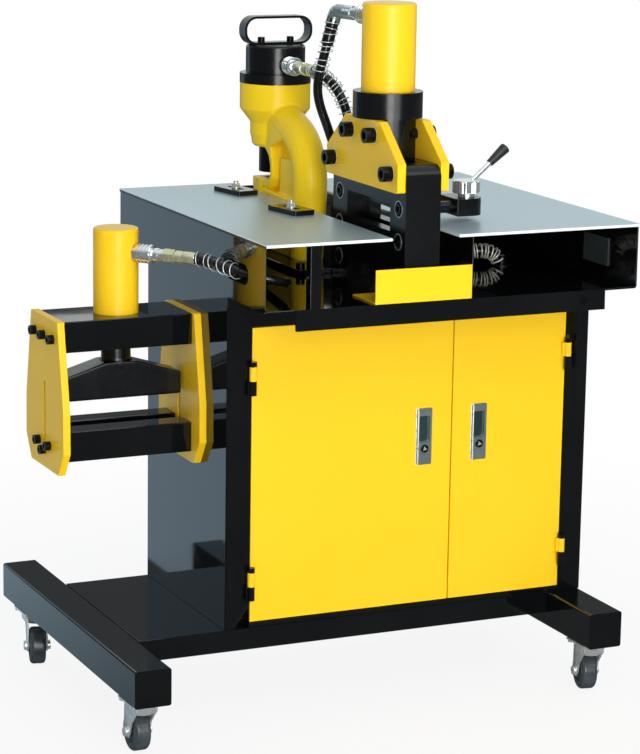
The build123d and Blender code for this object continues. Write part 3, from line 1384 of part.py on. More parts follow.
def bender_press_block():
    """Flared block with a round hub above and a guide pin at each end."""
    reach = BENDER_INNER - PRESS_SIDE_GAP
    side_top = PRESS_BOTTOM + PRESS_SIDE_HEIGHT
    hub = PRESS_SHOULDER / 2
    face = outline(
        [
            (BENDER_X - reach, PRESS_BOTTOM),
            (BENDER_X + reach, PRESS_BOTTOM),
            (BENDER_X + reach, side_top),
            (BENDER_X + hub, PRESS_TOP),
            (BENDER_X - hub, PRESS_TOP),
            (BENDER_X - reach, side_top),
        ],
        [PRESS_CORNER] * 6,
    )
    y = BENDER_AXIS_Y
    press = plate_y(face, y - PRESS_DEPTH / 2, y + PRESS_DEPTH / 2)
    press += rod_z(BENDER_X, y, PRESS_BOTTOM, PRESS_HUB_TOP, PRESS_HUB_RADIUS)
    pin = BENDER_INNER + GUIDE_PIN_DEPTH
    z = PRESS_BOTTOM + GUIDE_PIN_RISE
    press += rod_x(BENDER_X - pin, BENDER_X + pin, y, z, GUIDE_PIN_RADIUS)
    return press


def bender_cylinder():
    x = BENDER_X
    y = BENDER_AXIS_Y
    body = rod_z(x, y, BEAM_BLOCK_TOP, BENDER_CYLINDER_TOP, BENDER_CYLINDER_RADIUS)
    body = fillet(body.edges().sort_by(Axis.Z)[-1], CYLINDER_EDGE)
    body -= rod_z(x, y, BEAM_BLOCK_TOP, BENDER_CYLINDER_TOP - CYLINDER_END, BENDER_BORE)
    return body - port_face(BENDER_PORT, BENDER_WAY)


def bender_ram():
    x = BENDER_X
    y = BENDER_AXIS_Y
    ram = rod_z(x, y, PRESS_HUB_TOP, BENDER_PISTON_TOP, BENDER_ROD)
    low = BENDER_PISTON_TOP - BENDER_PISTON
    return ram + rod_z(x, y, low, BENDER_PISTON_TOP, BENDER_BORE - RUNNING)


def port_face(port, way):
    """Cutter for the flat spot that a coupler seats on."""
    cutter = Pos(0, 0, PORT_FACE_RADIUS) * Cylinder(PORT_FACE_RADIUS, 2 * PORT_FACE_RADIUS)
    return facing(port, way) * cutter


# Ports: the flat spot on each cylinder and the direction its coupler points
PUNCH_WAY = Vector(0, -1, 0)
PUNCH_PORT = (
    Vector(PUNCH_AXIS_X, PUNCH_AXIS_Y, RING_TOP + PUNCH_PORT_RISE)
    + PUNCH_WAY * (CAP_RADIUS - PORT_SINK)
)
SHEAR_WAY = Vector(-0.18, 0.98, 0).normalized()
SHEAR_PORT = (
    Vector(SHEAR_AXIS_X, SHEAR_AXIS_Y, SHEAR_CYLINDER_TOP - SHEAR_PORT_DROP)
    + SHEAR_WAY * (SHEAR_CYLINDER_RADIUS - PORT_SINK)
)
BENDER_WAY = Vector(1, 0, 0).rotate(Axis.Z, BENDER_PORT_ANGLE)
BENDER_PORT = (
    Vector(BENDER_X, BENDER_AXIS_Y, BENDER_CYLINDER_TOP - BENDER_PORT_DROP)
    + BENDER_WAY * (BENDER_CYLINDER_RADIUS - PORT_SINK)
)
COUPLER_LENGTH = COUPLER_HEX_LENGTH + COLLAR_LENGTH + COUPLER_NUT_LENGTH
ELBOW_TURN = SHEAR_PORT + SHEAR_WAY * (COUPLER_LENGTH + ELBOW_LEAD)
ELBOW_WAY = Vector(-0.22, 0.08, -0.97).normalized()
ELBOW_END = ELBOW_TURN + ELBOW_WAY * ELBOW_DROP

# Hose routes from each fitting to the valve block
LEFT_PORT = at(VALVE_X - VALVE_PORT_PITCH, VALVE_Y, PORT_TOP)
MIDDLE_PORT = at(VALVE_X, VALVE_Y, PORT_TOP)
RIGHT_PORT = at(VALVE_X + VALVE_PORT_PITCH, VALVE_Y, PORT_TOP)
PANEL_CROSSING = at(0, -38, DECK_TOP + 44)
BENDER_CROSSING = at(88, 84, DECK_TOP)
PUNCH_CROSSING = at(316, 128, DECK_TOP)
SHEAR_CROSSING = at(538, 106, DECK_TOP)
DECK_CROSSINGS = [
    (BENDER_CROSSING - Vector(0, BEND_CUT, 0), BEND_HOLE),
    (PUNCH_CROSSING, HOSE_HOLE),
    (SHEAR_CROSSING, HOSE_HOLE),
]


def shear_route():
    start = ELBOW_END + ELBOW_WAY * FERRULE_LENGTH
    return [
        start,
        start + ELBOW_WAY * HOSE_LEAD,
        at(220, 157, DECK_TOP + 312),
        at(223, 161, DECK_TOP + 278),
        at(244, 159, DECK_TOP + 226),
        at(270, 160, DECK_TOP + 150),
        at(300, 172, DECK_TOP + 52),
        at(356, 168, DECK_TOP + 13),
        at(425, 144, DECK_TOP + 13),
        at(468, 129, DECK_TOP + 48),
        SHEAR_CROSSING + Vector(0, 0, 48),
        SHEAR_CROSSING - Vector(0, 0, 40),
        at(480, 100, DECK_TOP - 150),
        at(392, 92, PORT_TOP + 90),
        RIGHT_PORT + Vector(0, 0, 40),
        RIGHT_PORT,
    ]


def punch_route():
    start = PUNCH_PORT + PUNCH_WAY * FITTING_LENGTH
    return [
        start,
        start + PUNCH_WAY * HOSE_LEAD,
        at(250, 154, DECK_TOP + 304),
        at(264, 134, DECK_TOP + 262),
        at(276, 142, DECK_TOP + 200),
        at(300, 136, DECK_TOP + 120),
        PUNCH_CROSSING + Vector(0, 0, 40),
        PUNCH_CROSSING - Vector(0, 0, 60),
        MIDDLE_PORT + Vector(0, 8, 110),
        MIDDLE_PORT + Vector(0, 0, 40),
        MIDDLE_PORT,
    ]


def bender_route():
    start = BENDER_PORT + BENDER_WAY * FITTING_LENGTH
    return [
        start,
        start + BENDER_WAY * HOSE_LEAD,
        PANEL_CROSSING,
        at(38, -74, DECK_TOP + 36),
        at(82, -58, DECK_TOP + 24),
        at(90, 10, DECK_TOP + 18),
        BENDER_CROSSING + Vector(0, 0, 8),
        BENDER_CROSSING - Vector(0, 0, 70),
        at(170, 90, PORT_TOP + 120),
        LEFT_PORT + Vector(0, 0, 50),
        LEFT_PORT,
    ]


def coupler():
    """Quick coupler drawn upwards: hexagon, ribbed collar, nut."""
    body = hex_z(0, 0, 0, COUPLER_HEX_LENGTH, COUPLER_HEX)
    z = COUPLER_HEX_LENGTH
    step = COLLAR_LENGTH / (2 * COLLAR_RIB_COUNT - 1)
    for index in range(2 * COLLAR_RIB_COUNT - 1):
        radius = COLLAR_RIB_RADIUS - COLLAR_RIB_DEPTH * (index % 2)
        body += rod_z(0, 0, z + index * step, z + (index + 1) * step, radius)
    z += COLLAR_LENGTH
    return body + hex_z(0, 0, z, z + COUPLER_NUT_LENGTH, COUPLER_NUT)


def ferrule(neck):
    """Crimped hose end drawn upwards, with a hexagon below it when a neck is given."""
    body = rod_z(0, 0, neck, neck + FERRULE_LENGTH, FERRULE_RADIUS)
    if neck > 0:
        body += hex_z(0, 0, 0, neck, ADAPTER_HEX)
    return body


def hose_fittings():
    solids = []
    for port, way in ((PUNCH_PORT, PUNCH_WAY), (BENDER_PORT, BENDER_WAY)):
        solids.append(facing(port, way) * coupler())
        solids.append(facing(port + way * COUPLER_LENGTH, way) * ferrule(ADAPTER_LENGTH))
    solids.append(facing(SHEAR_PORT, SHEAR_WAY) * coupler())
    bend = FilletPolyline(
        SHEAR_PORT + SHEAR_WAY * COUPLER_LENGTH, ELBOW_TURN, ELBOW_END, radius=ELBOW_BEND
    )
    elbow = tube_along(Wire(bend.edges()), ELBOW_RADIUS)
    solids.append(elbow + facing(ELBOW_END, ELBOW_WAY) * ferrule(0))
    for port in (LEFT_PORT, MIDDLE_PORT, RIGHT_PORT):
        seat = facing((port.X, port.Y, VALVE_TOP), (0, 0, 1))
        solids.append(seat * ferrule(ADAPTER_LENGTH))
    x = SHEAR_CROSSING.X
    y = SHEAR_CROSSING.Y
    collar_top = DECK_TOP + DECK_COLLAR_HEIGHT
    ring = rod_z(x, y, DECK_TOP, collar_top, FERRULE_RADIUS)
    ring += rod_z(x, y, DECK_TOP, DECK_TOP + DECK_COLLAR_FLANGE, 2 * FERRULE_RADIUS)
    ring -= rod_z(x, y, DECK_TOP, collar_top, HOSE_RADIUS + LOOSE)
    return solids + [ring]


def hoses_and_guards():
    """The three hoses, and the wire guards that start on their ferrules."""
    hoses = []
    guards = []
    for name, points, curls in (
        ("shear hose", shear_route(), 9),
        ("punch hose", punch_route(), 9),
        ("bender hose", bender_route(), 6),
    ):
        line = route_line(points)
        hose = tube_along(line, HOSE_RADIUS)
        fill = hose.volume / (line.length * math.pi * HOSE_RADIUS**2)
        print(name, "length", round(line.length), "volume over section times length", round(fill, 4))
        hoses.append(hose)
        guards.append(hose_guard(name, line, curls))
    guards.append(deck_guard(route_line(shear_route()), 8))
    return hoses, guards


def hose_guard(name, line, curls):
    """Guard that begins round the ferrule and follows the hose."""
    start = line @ 0
    back = start - (line % 0) * FERRULE_LENGTH
    whole = Wire([Edge.make_line(back, start)] + line.edges())
    begin = FERRULE_LENGTH - 2 * GUARD_PITCH
    return coil(name + " guard", whole, GUARD_RADIUS, GUARD_WIRE, begin, curls * GUARD_PITCH, curls)


def deck_guard(line, curls):
    """Guard that ends round the collar where the shear hose goes down through the deck."""
    end = line.length
    while line.position_at(end, position_mode=PositionMode.LENGTH).Z < DECK_TOP + DECK_GUARD_RISE:
        end -= 1.0
    length = curls * GUARD_PITCH
    return coil("deck guard", line, GUARD_RADIUS, GUARD_WIRE, end - length, length, curls)


def oil_tank():
    """Open box with a lid that fills its top."""
    x0 = CABINET_X + TANK_LEFT
    x1 = x0 + TANK_WIDTH
    y0 = CABINET_Y + TANK_FRONT
    y1 = y0 + TANK_DEPTH
    wall = TANK_WALL
    tank = block(x0, x1, y0, y1, BASE_TOP, TANK_TOP)
    tank -= block(x0 + wall, x1 - wall, y0 + wall, y1 - wall, BASE_TOP + wall, TANK_TOP)
    lid = block(x0 - wall, x1 + wall, y0 - wall, y1 + wall, TANK_TOP, VALVE_BOTTOM)
    return [tank, lid]


def valve_block():
    x = CABINET_X + VALVE_X
    y = CABINET_Y + VALVE_Y
    half = VALVE_WIDTH / 2
    depth = VALVE_DEPTH / 2
    return block(x - half, x + half, y - depth, y + depth, VALVE_BOTTOM, VALVE_TOP)


def pump_motor():
    """Upright motor with cooling ribs on a round flange."""
    x = CABINET_X + VALVE_X
    y = CABINET_Y + MOTOR_Y
    top = VALVE_BOTTOM + MOTOR_HEIGHT
    shoulder = VALVE_BOTTOM + MOTOR_FLANGE_HEIGHT
    motor = rod_z(x, y, VALVE_BOTTOM, shoulder, MOTOR_FLANGE_RADIUS)
    motor += rod_z(x, y, shoulder, top, MOTOR_RADIUS - MOTOR_RIB_HEIGHT)
    half = MOTOR_RIB_WIDTH / 2
    rib = block(0, MOTOR_RADIUS, -half, half, shoulder, top - MOTOR_FLANGE_HEIGHT)
    for index in range(MOTOR_RIB_COUNT):
        motor += Pos(x, y, 0) * Rot(0, 0, 360 * index / MOTOR_RIB_COUNT) * rib
    return motor


def black_screws():
    """All socket-head screws, and the hexagon bolt in the lip."""
    screws = [hex_bolt(lip_screw_seat(), LIP_SCREW, PANEL_SETBACK)]
    for side in (-1, 1):
        for seat in side_screw_seats(side):
            screws.append(cap_screw(seat, BIG_SCREW, SIDE_PLATE + SHEAR_SCREW_BITE - SCREW_END_GAP))
        for seat in body_screw_seats(side):
            screws.append(cap_screw(seat, BODY_SCREW, SHEAR_PLATE - BODY_SCREW_SINK))
    for seat in bender_screw_seats():
        screws.append(cap_screw(seat, BENDER_SCREW, BENDER_PLATE + 2 * BENDER_SCREW - SCREW_END_GAP))
    for seat in handle_bolt_seats():
        screws.append(cap_screw(seat, HANDLE_BOLT, HANDLE_STRAP + HANDLE_BOLT_BITE - SCREW_END_GAP))
    for seat in foot_bolt_seats():
        screws.append(cap_screw(seat, PUNCH_FOOT_BOLT, PUNCH_FOOT_SHEET + DECK_SHEET))
    arm_grip = ARM_ROOT + SHEAR_PLATE - BLIND_WALL - SCREW_END_GAP
    for seat in arm_screw_seats():
        screws.append(cap_screw(seat, ARM_SCREW, arm_grip))
    return screws


def zinc_fasteners():
    """Caster bolts, and stop studs with nuts."""
    pieces = []
    for name in CASTERS:
        for seat in caster_bolt_seats(name):
            pieces.append(hex_bolt(seat, CASTER_BOLT, CASTER_PLATE_SHEET + BEAM_WALL))
    pieces.append(stop_stud(REAR_STOP_Y))
    pieces.append(stop_stud(FRONT_STOP_Y))
    return pieces


def springs():
    punch = return_spring(
        "punch spring",
        PUNCH_AXIS_X,
        PUNCH_AXIS_Y,
        PUNCH_FLOOR,
        PUNCH_PISTON_TOP - PUNCH_PISTON,
        (PUNCH_BORE + PUNCH_ROD) / 2,
    )
    shear = return_spring(
        "shear spring",
        SHEAR_AXIS_X,
        SHEAR_AXIS_Y,
        COLLAR_TOP,
        SHEAR_PISTON_TOP - SHEAR_PISTON,
        (SHEAR_BORE + SHEAR_ROD) / 2,
    )
    bender = return_spring(
        "bender spring",
        BENDER_X,
        BENDER_AXIS_Y,
        BEAM_BLOCK_TOP,
        BENDER_PISTON_TOP - BENDER_PISTON,
        (BENDER_BORE + BENDER_ROD) / 2,
    )
    return {"punch_return_spring": punch, "shear_return_spring": shear, "bender_return_spring": bender}


def cart_nodes():
    nodes = {
        "foot_beams": foot_beams(),
        "base_tray": base_tray(),
        "caster_plates": [caster_plate(name) for name in CASTERS],
        "left_side_panel": left_side_panel(),
        "right_side_panel": right_side_panel(),
        "back_panels": back_panels(),
        "door_frame": door_frame(),
        "left_door": door(LEFT_HINGE_X, 1),
        "right_door": door(RIGHT_HINGE_X, -1),
        "left_latch": latch(1),
        "right_latch": latch(-1),
        "left_key_cam": key_cam(1, CAM_SETBACK),
        "right_key_cam": key_cam(-1, CAM_SETBACK + CAM_STAGGER),
        "deck_plate": deck_plate(),
        "table_supports": table_supports(),
        "left_table": left_table(),
        "right_table": right_table(),
        "rear_stop": table_stop(REAR_STOP_Y),
        "front_stop": table_stop(FRONT_STOP_Y),
    }
    for name in CASTERS:
        nodes["caster_fork_" + name] = caster_fork(name)
        nodes["caster_wheel_" + name] = caster_wheel(name)
    return nodes


def tool_nodes():
    return {
        "punch_frame": punch_frame(),
        "punch_cap": punch_cap(),
        "punch_handle": punch_handle(),
        "punch_ram": punch_ram(),
        "shear_body": shear_body(),
        "shear_lower_blades": shear_lower_blades(),
        "shear_upper_blade": shear_upper_blade(),
        "shear_side_plates": shear_side_plates(),
        "shear_collar": shear_collar(),
        "shear_cylinder": shear_cylinder(),
        "shear_ram": shear_ram(),
        "shear_front_plate": shear_front_plate(),
        "hold_down_arm": hold_down_arm(),
        "hold_down_pad": hold_down_pad(),
        "hold_down_nut": hold_down_nut(),
        "hold_down_grip": hold_down_grip(),
        "bender_side_plates": bender_side_plates(),
        "bender_top_beam": bender_top_beam(),
        "bender_bed": bender_bed(),
        "bender_press_block": bender_press_block(),
        "bender_cylinder": bender_cylinder(),
        "bender_ram": bender_ram(),
    }


def hydraulic_nodes():
    hoses, guards = hoses_and_guards()
    return {
        "hydraulic_hoses": hoses,
        "hose_guards": guards,
        "hose_fittings": hose_fittings(),
        "oil_tank": oil_tank(),
        "valve_block": valve_block(),
        "pump_motor": pump_motor(),
        "black_screws": black_screws(),
        "zinc_fasteners": zinc_fasteners(),
    }


def export_all():
    os.makedirs("parts", exist_ok=True)
    nodes = cart_nodes() | tool_nodes() | hydraulic_nodes() | springs()
    for name, shape in nodes.items():
        if isinstance(shape, list):
            shape = Compound(children=[solid for piece in shape for solid in piece.solids()])
        export_step(shape, "parts/" + name + ".step")
    print(len(nodes), "nodes")


export_all()
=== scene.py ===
import json
import math

import bmesh
import bpy
from mathutils import Matrix, Vector

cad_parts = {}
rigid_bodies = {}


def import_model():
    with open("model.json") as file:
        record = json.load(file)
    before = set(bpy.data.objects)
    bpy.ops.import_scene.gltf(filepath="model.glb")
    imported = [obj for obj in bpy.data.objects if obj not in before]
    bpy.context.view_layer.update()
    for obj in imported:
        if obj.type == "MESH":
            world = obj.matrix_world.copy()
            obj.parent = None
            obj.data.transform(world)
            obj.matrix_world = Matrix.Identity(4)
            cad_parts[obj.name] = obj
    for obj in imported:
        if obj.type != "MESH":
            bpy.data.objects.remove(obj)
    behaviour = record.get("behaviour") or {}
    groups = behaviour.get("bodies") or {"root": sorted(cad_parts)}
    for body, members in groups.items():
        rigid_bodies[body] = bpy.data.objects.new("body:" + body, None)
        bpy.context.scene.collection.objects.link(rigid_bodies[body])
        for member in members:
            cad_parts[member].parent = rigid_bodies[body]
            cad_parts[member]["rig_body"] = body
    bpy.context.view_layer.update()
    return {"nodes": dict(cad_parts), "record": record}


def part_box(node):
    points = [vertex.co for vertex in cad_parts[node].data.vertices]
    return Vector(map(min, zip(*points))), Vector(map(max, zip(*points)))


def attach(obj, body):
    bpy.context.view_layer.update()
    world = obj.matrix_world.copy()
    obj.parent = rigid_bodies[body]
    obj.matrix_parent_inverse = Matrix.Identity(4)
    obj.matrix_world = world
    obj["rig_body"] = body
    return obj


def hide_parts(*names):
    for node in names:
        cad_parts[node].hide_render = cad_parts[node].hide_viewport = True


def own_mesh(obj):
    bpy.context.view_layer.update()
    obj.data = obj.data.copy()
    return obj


# Busbar processing machine: materials, hoses, wire guards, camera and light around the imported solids.
# Metres, or millimetres where a comment says so.
# +X is the operator's right, the front faces -Y, +Z is up, the floor is Z = 0.
UP = Vector((0, 0, 1))
MM_PER_METRE = 1000

# How finely round forms are divided, and the angle from which an edge stays sharp
ROUND_SIDES = 48
FINE_SIDES = 64
PIN_SIDES = 24
HEX_SIDES = 6
CURVE_STEPS = 16
HOSE_ROUNDNESS = 6
WIRE_ROUNDNESS = 2
SPINE_ROUNDNESS = 8
SMOOTH_ANGLE = math.radians(35)

# Camera, solved from the photograph's straight edges; lens and sensor in millimetres
CAMERA_PLACE = Vector((-1.8033, -4.00515, 1.4633))
CAMERA_AZIMUTH = math.radians(-24.728)
CAMERA_ELEVATION = math.radians(12.189)
CAMERA_ROLL = math.radians(0.911)
CAMERA_LENS = 129.97
CAMERA_SENSOR = 36.0
CAMERA_REACH = 60.0

# The part of its range that most of a noise lies in
NOISE_LOW = 0.3
NOISE_HIGH = 0.7

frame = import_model()


def new_object(name, data):
    """An object linked into the scene."""
    made = bpy.data.objects.new(name, data)
    bpy.context.scene.collection.objects.link(made)
    return made


def place_camera():
    data = bpy.data.cameras.new("camera")
    data.lens = CAMERA_LENS
    data.sensor_width = CAMERA_SENSOR
    data.clip_end = CAMERA_REACH
    camera = new_object("camera", data)
    back = Vector((
        math.sin(CAMERA_AZIMUTH) * math.cos(CAMERA_ELEVATION),
        -math.cos(CAMERA_AZIMUTH) * math.cos(CAMERA_ELEVATION),
        math.sin(CAMERA_ELEVATION),
    ))
    level = UP.cross(back).normalized()
    upright = back.cross(level)
    right = level * math.cos(CAMERA_ROLL) + upright * math.sin(CAMERA_ROLL)
    up = back.cross(right)
    turn = Matrix((right, up, back)).transposed()
    camera.matrix_world = Matrix.Translation(CAMERA_PLACE) @ turn.to_4x4()
    bpy.context.scene.camera = camera


def colour(hex_code):
    """Linear colour of a six-digit screen colour."""
    screen = [int(hex_code[start:start + 2], 16) / 255 for start in (0, 2, 4)]
    linear = [value / 12.92 if value <= 0.04045 else ((value + 0.055) / 1.055) ** 2.4 for value in screen]
    return (*linear, 1.0)


class Finish:
    """A material under construction: one shader and the textures that feed it."""

    def __init__(self, name, **values):
        self.material = bpy.data.materials.new(name)
        self.material.use_nodes = True
        self.tree = self.material.node_tree
        self.shader = self.tree.nodes["Principled BSDF"]
        for key, value in values.items():
            self.shader.inputs[key.replace("_", " ")].default_value = value

    def node(self, kind, inputs=None, **settings):
        """A new node; its inputs are values or the sockets that feed them."""
        node = self.tree.nodes.new("ShaderNode" + kind)
        for key, value in settings.items():
            setattr(node, key, value)
        for key, value in (inputs or {}).items():
            if isinstance(value, bpy.types.NodeSocket):
                self.tree.links.new(value, node.inputs[key])
            else:
                node.inputs[key].default_value = value
        return node

    def feed(self, socket, name):
        self.tree.links.new(socket, self.shader.inputs[name])

    def place(self):
        """Where a point lies in its piece's own frame."""
        return self.node("TexCoord").outputs["Object"]

    def noise(self, scale, detail=2.0, stretch=(1, 1, 1)):
        """Noise; scale is in lumps per metre, stretch multiplies it along each axis."""
        mapped = self.node("Mapping", {"Vector": self.place(), "Scale": stretch}).outputs["Vector"]
        texture = self.node("TexNoise", {"Vector": mapped, "Scale": scale, "Detail": detail})
        return texture.outputs["Fac"]

    def spread(self, factor, low, high, start=NOISE_LOW, end=NOISE_HIGH):
        """A factor stretched over a range of numbers."""
        return self.node("MapRange", {
            "Value": factor, "From Min": start, "From Max": end, "To Min": low, "To Max": high,
        }).outputs["Result"]

    def tint(self, factor, first, second):
        """A factor stretched between two screen colours."""
        ramp = self.node("ValToRGB", {"Fac": factor})
        low, high = ramp.color_ramp.elements
        low.position = NOISE_LOW
        low.color = colour(first)
        high.position = NOISE_HIGH
        high.color = colour(second)
        return ramp.outputs["Color"]

    def paint(self, factor, first, second):
        """Base colour between two screen colours."""
        self.feed(self.tint(factor, first, second), "Base Color")

    def gloss(self, factor, low, high):
        """Roughness between two values."""
        self.feed(self.spread(factor, low, high), "Roughness")

    def bump(self, height, distance):
        node = self.node("Bump", {"Height": height, "Distance": distance, "Strength": 1.0})
        self.feed(node.outputs["Normal"], "Normal")


def yellow_paint():
    finish = Finish("yellow_paint", IOR=1.5, Specular_IOR_Level=0.25)
    finish.paint(finish.noise(3.0), "fdca1c", "ffce22")
    finish.gloss(finish.noise(12.0), 0.29, 0.33)
    finish.bump(finish.noise(140.0, 1.0), 0.00001)
    return finish.material


def casting_yellow():
    """The casting's yellow, a little paler than the sheet metal's and with a softer gloss."""
    finish = Finish("casting_yellow", IOR=1.5, Specular_IOR_Level=0.2)
    finish.paint(finish.noise(4.0), "ffd41c", "ffd822")
    finish.gloss(finish.noise(14.0), 0.3, 0.36)
    finish.bump(finish.noise(180.0, 2.0), 0.00004)
    return finish.material


def black_paint():
    finish = Finish("black_paint", IOR=1.5)
    finish.paint(finish.noise(7.0), "08090a", "0e0f10")
    finish.gloss(finish.noise(35.0), 0.04, 0.07)
    finish.bump(finish.noise(160.0, 1.0), 0.00001)
    return finish.material


def satin_black():
    """Black of the machined pieces, softer than the sheet metal's gloss paint."""
    finish = Finish("satin_black", IOR=1.5, Specular_IOR_Level=0.4)
    finish.paint(finish.noise(9.0), "08090b", "0d0e10")
    finish.gloss(finish.noise(60.0), 0.2, 0.26)
    finish.bump(finish.noise(500.0), 0.00001)
    return finish.material


def table_steel():
    """Rolled sheet, greyer on its level faces; its upright cut edges are painted near white as a painted
    highlight.
    """
    finish = Finish("table_steel")
    streaks = finish.noise(9.0, 6.0, (1.0, 130.0, 1.0))
    normal = finish.node("NewGeometry").outputs["Normal"]
    upward = finish.node("SeparateXYZ", {"Vector": normal}).outputs["Z"]
    level = finish.node("Math", {0: upward}, operation="ABSOLUTE").outputs["Value"]
    face = finish.tint(streaks, "a8bdc8", "b7cad3")
    # Painted highlight: faces that stand upright take near white, level faces keep the streaked grey
    edges_painted_highlight = finish.node("Mix", {"Factor": level, "A": colour("fbfcfc"), "B": face}, data_type="RGBA")
    finish.feed(edges_painted_highlight.outputs["Result"], "Base Color")
    finish.feed(finish.spread(level, 0.1, 0.5, 0.2, 0.8), "Metallic")
    finish.gloss(streaks, 0.32, 0.4)
    finish.bump(streaks, 0.00001)
    return finish.material


def tool_steel():
    finish = Finish("tool_steel", Metallic=1.0)
    marks = finish.noise(30.0, 6.0, (1.0, 1.0, 40.0))
    finish.paint(marks, "8e9194", "aeb1b3")
    finish.gloss(marks, 0.22, 0.36)
    finish.bump(marks, 0.00002)
    return finish.material


def black_steel():
    finish = Finish("black_steel", IOR=1.4, Specular_IOR_Level=0.25)
    finish.paint(finish.noise(60.0), "070708", "0d0d0e")
    finish.gloss(finish.noise(110.0), 0.16, 0.28)
    finish.bump(finish.noise(900.0), 0.00002)
    return finish.material


def zinc():
    finish = Finish("zinc", Metallic=0.7)
    spangle = finish.noise(90.0, 3.0)
    finish.paint(spangle, "e0e5e4", "eaeeed")
    finish.gloss(spangle, 0.26, 0.36)
    finish.bump(finish.noise(500.0), 0.00001)
    return finish.material


def latch_metal():
    """Darker plating of the cast latch plates and of the shear line's elbow."""
    finish = Finish("latch_metal", Metallic=0.76)
    finish.paint(finish.noise(15.0), "94a2a2", "9eaaaa")
    finish.gloss(finish.noise(30.0), 0.26, 0.3)
    return finish.material


def cover_grey():
    """Dull black of the blanking plate inside the right bay."""
    finish = Finish("cover_grey", IOR=1.4, Specular_IOR_Level=0.2)
    finish.paint(finish.noise(20.0), "34383a", "3c4042")
    finish.gloss(finish.noise(60.0), 0.5, 0.6)
    return finish.material


def latch_well_painted_shade():
    """Latch plating painted darker as shade, for the bottom of a latch's finger recess."""
    finish = Finish("latch_well_painted_shade", Metallic=0.9)
    finish.paint(finish.noise(15.0), "4c6264", "566c6e")
    finish.gloss(finish.noise(30.0), 0.3, 0.36)
    return finish.material


def guard_wire_painted_highlight():
    """Wire of the guard under the right table, painted near white as a painted highlight for its glints."""
    finish = Finish("guard_wire_painted_highlight", Metallic=0.25)
    finish.paint(finish.noise(30.0), "f6f3e2", "fdfbf0")
    finish.gloss(finish.noise(60.0), 0.2, 0.26)
    return finish.material


def chrome():
    finish = Finish("chrome", Metallic=0.85)
    finish.paint(finish.noise(20.0), "dde1e3", "ebeeee")
    finish.gloss(finish.noise(90.0), 0.12, 0.18)
    return finish.material


def fitting_brass():
    finish = Finish("fitting_brass", Metallic=0.75)
    finish.paint(finish.noise(25.0), "cfcba4", "dad7ba")
    finish.gloss(finish.noise(60.0), 0.24, 0.28)
    return finish.material


def hose_rubber():
    finish = Finish("hose_rubber", IOR=1.5)
    finish.paint(finish.noise(50.0), "0a0a0b", "121213")
    finish.gloss(finish.noise(200.0), 0.14, 0.24)
    finish.bump(finish.noise(900.0), 0.00002)
    return finish.material


def wheel_plastic():
    finish = Finish("wheel_plastic", IOR=1.48)
    finish.paint(finish.noise(60.0), "343a3e", "485054")
    finish.gloss(finish.noise(150.0), 0.25, 0.35)
    finish.bump(finish.noise(600.0), 0.00005)
    return finish.material


def grip_plastic():
    finish = Finish("grip_plastic", IOR=1.48)
    finish.paint(finish.noise(80.0), "18191a", "262829")
    finish.gloss(finish.noise(300.0), 0.36, 0.5)
    finish.bump(finish.noise(1500.0), 0.00004)
    return finish.material


def tank_paint():
    finish = Finish("tank_paint", IOR=1.5)
    finish.paint(finish.noise(150.0, 3.0), "515860", "6a727a")
    finish.gloss(finish.noise(80.0), 0.3, 0.45)
    finish.bump(finish.noise(220.0), 0.0002)
    return finish.material


FINISHES = {
    make.__name__: make()
    for make in (
        yellow_paint, casting_yellow, black_paint, satin_black, table_steel, tool_steel, black_steel, zinc,
        latch_metal, chrome, fitting_brass, hose_rubber, wheel_plastic, grip_plastic, tank_paint, cover_grey,
        latch_well_painted_shade, guard_wire_painted_highlight,
    )
}

# Nodes that have another finish than their slot's own
NODE_FINISHES = {
    "punch_cap": "satin_black", "punch_handle": "satin_black", "shear_collar": "satin_black",
    "shear_body": "satin_black", "hold_down_arm": "satin_black",
    # The shear's blades take satin black, painted shade inside the shear body
    "shear_lower_blades": "satin_black", "shear_upper_blade": "satin_black",
    "left_latch": "latch_metal", "right_latch": "latch_metal",
    "left_key_cam": "satin_black", "right_key_cam": "satin_black",
}


def paint_nodes():
    for row in frame["record"]["subparts"]:
        node = frame["nodes"][row["node"]]
        node.data.materials.clear()
        node.data.materials.append(FINISHES[NODE_FINISHES.get(row["node"], row["material_slot"])])


# The cabinet's front left corner, in millimetres left of and in front of the machine's middle
CORNER_LEFT = 198.5
CORNER_FRONT = 172.05


def metres(x, y, z):
    """A vector given in millimetres."""
    return Vector((x, y, z)) / MM_PER_METRE


def at(x, y, z):
    """A point measured in millimetres from the cabinet's front left corner at floor height."""
    return metres(x - CORNER_LEFT, y - CORNER_FRONT, z)


def add_piece(name, data, body, slot, finish=None, stands_for=None):
    """A new piece on a body, with its slot's own finish unless another is named."""
    piece = new_object(name, data)
    data.materials.clear()
    data.materials.append(FINISHES[slot])
    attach(piece, body)
    if finish:
        data.materials[0] = FINISHES[finish]
    if stands_for:
        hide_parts(stands_for)
    return piece


def mesh_from(shape, name):
    """A mesh made from an editable shape, which is used up."""
    mesh = bpy.data.meshes.new(name)
    shape.to_mesh(mesh)
    shape.free()
    return mesh


def smooth(mesh, angle=SMOOTH_ANGLE):
    """Smooth shading that keeps edges sharper than an angle."""
    mesh.shade_smooth()
    mesh.set_sharp_from_angle(angle=angle)


def rectangle(left, low, right, high):
    return [(left, low), (right, low), (right, high), (left, high)]


def add_prism(shape, outline, low, high, place):
    """Add an outline drawn out between two planes; place makes a point from its numbers and a plane's."""
    ends = [
        [shape.verts.new(place(first, second, plane)) for first, second in outline]
        for plane in (low, high)
    ]
    shape.faces.new(ends[0])
    shape.faces.new(reversed(ends[1]))
    for index in range(len(outline)):
        after = (index + 1) % len(outline)
        shape.faces.new((ends[0][after], ends[0][index], ends[1][index], ends[1][after]))


def prism(outline, low, high, place):
    """An outline drawn out between two planes, on its own."""
    shape = bmesh.new()
    add_prism(shape, outline, low, high, place)
    bmesh.ops.recalc_face_normals(shape, faces=shape.faces)
    return shape


def side_view(y, z, x):
    """A point of an outline drawn from the side, in millimetres."""
    return metres(x, y, z)


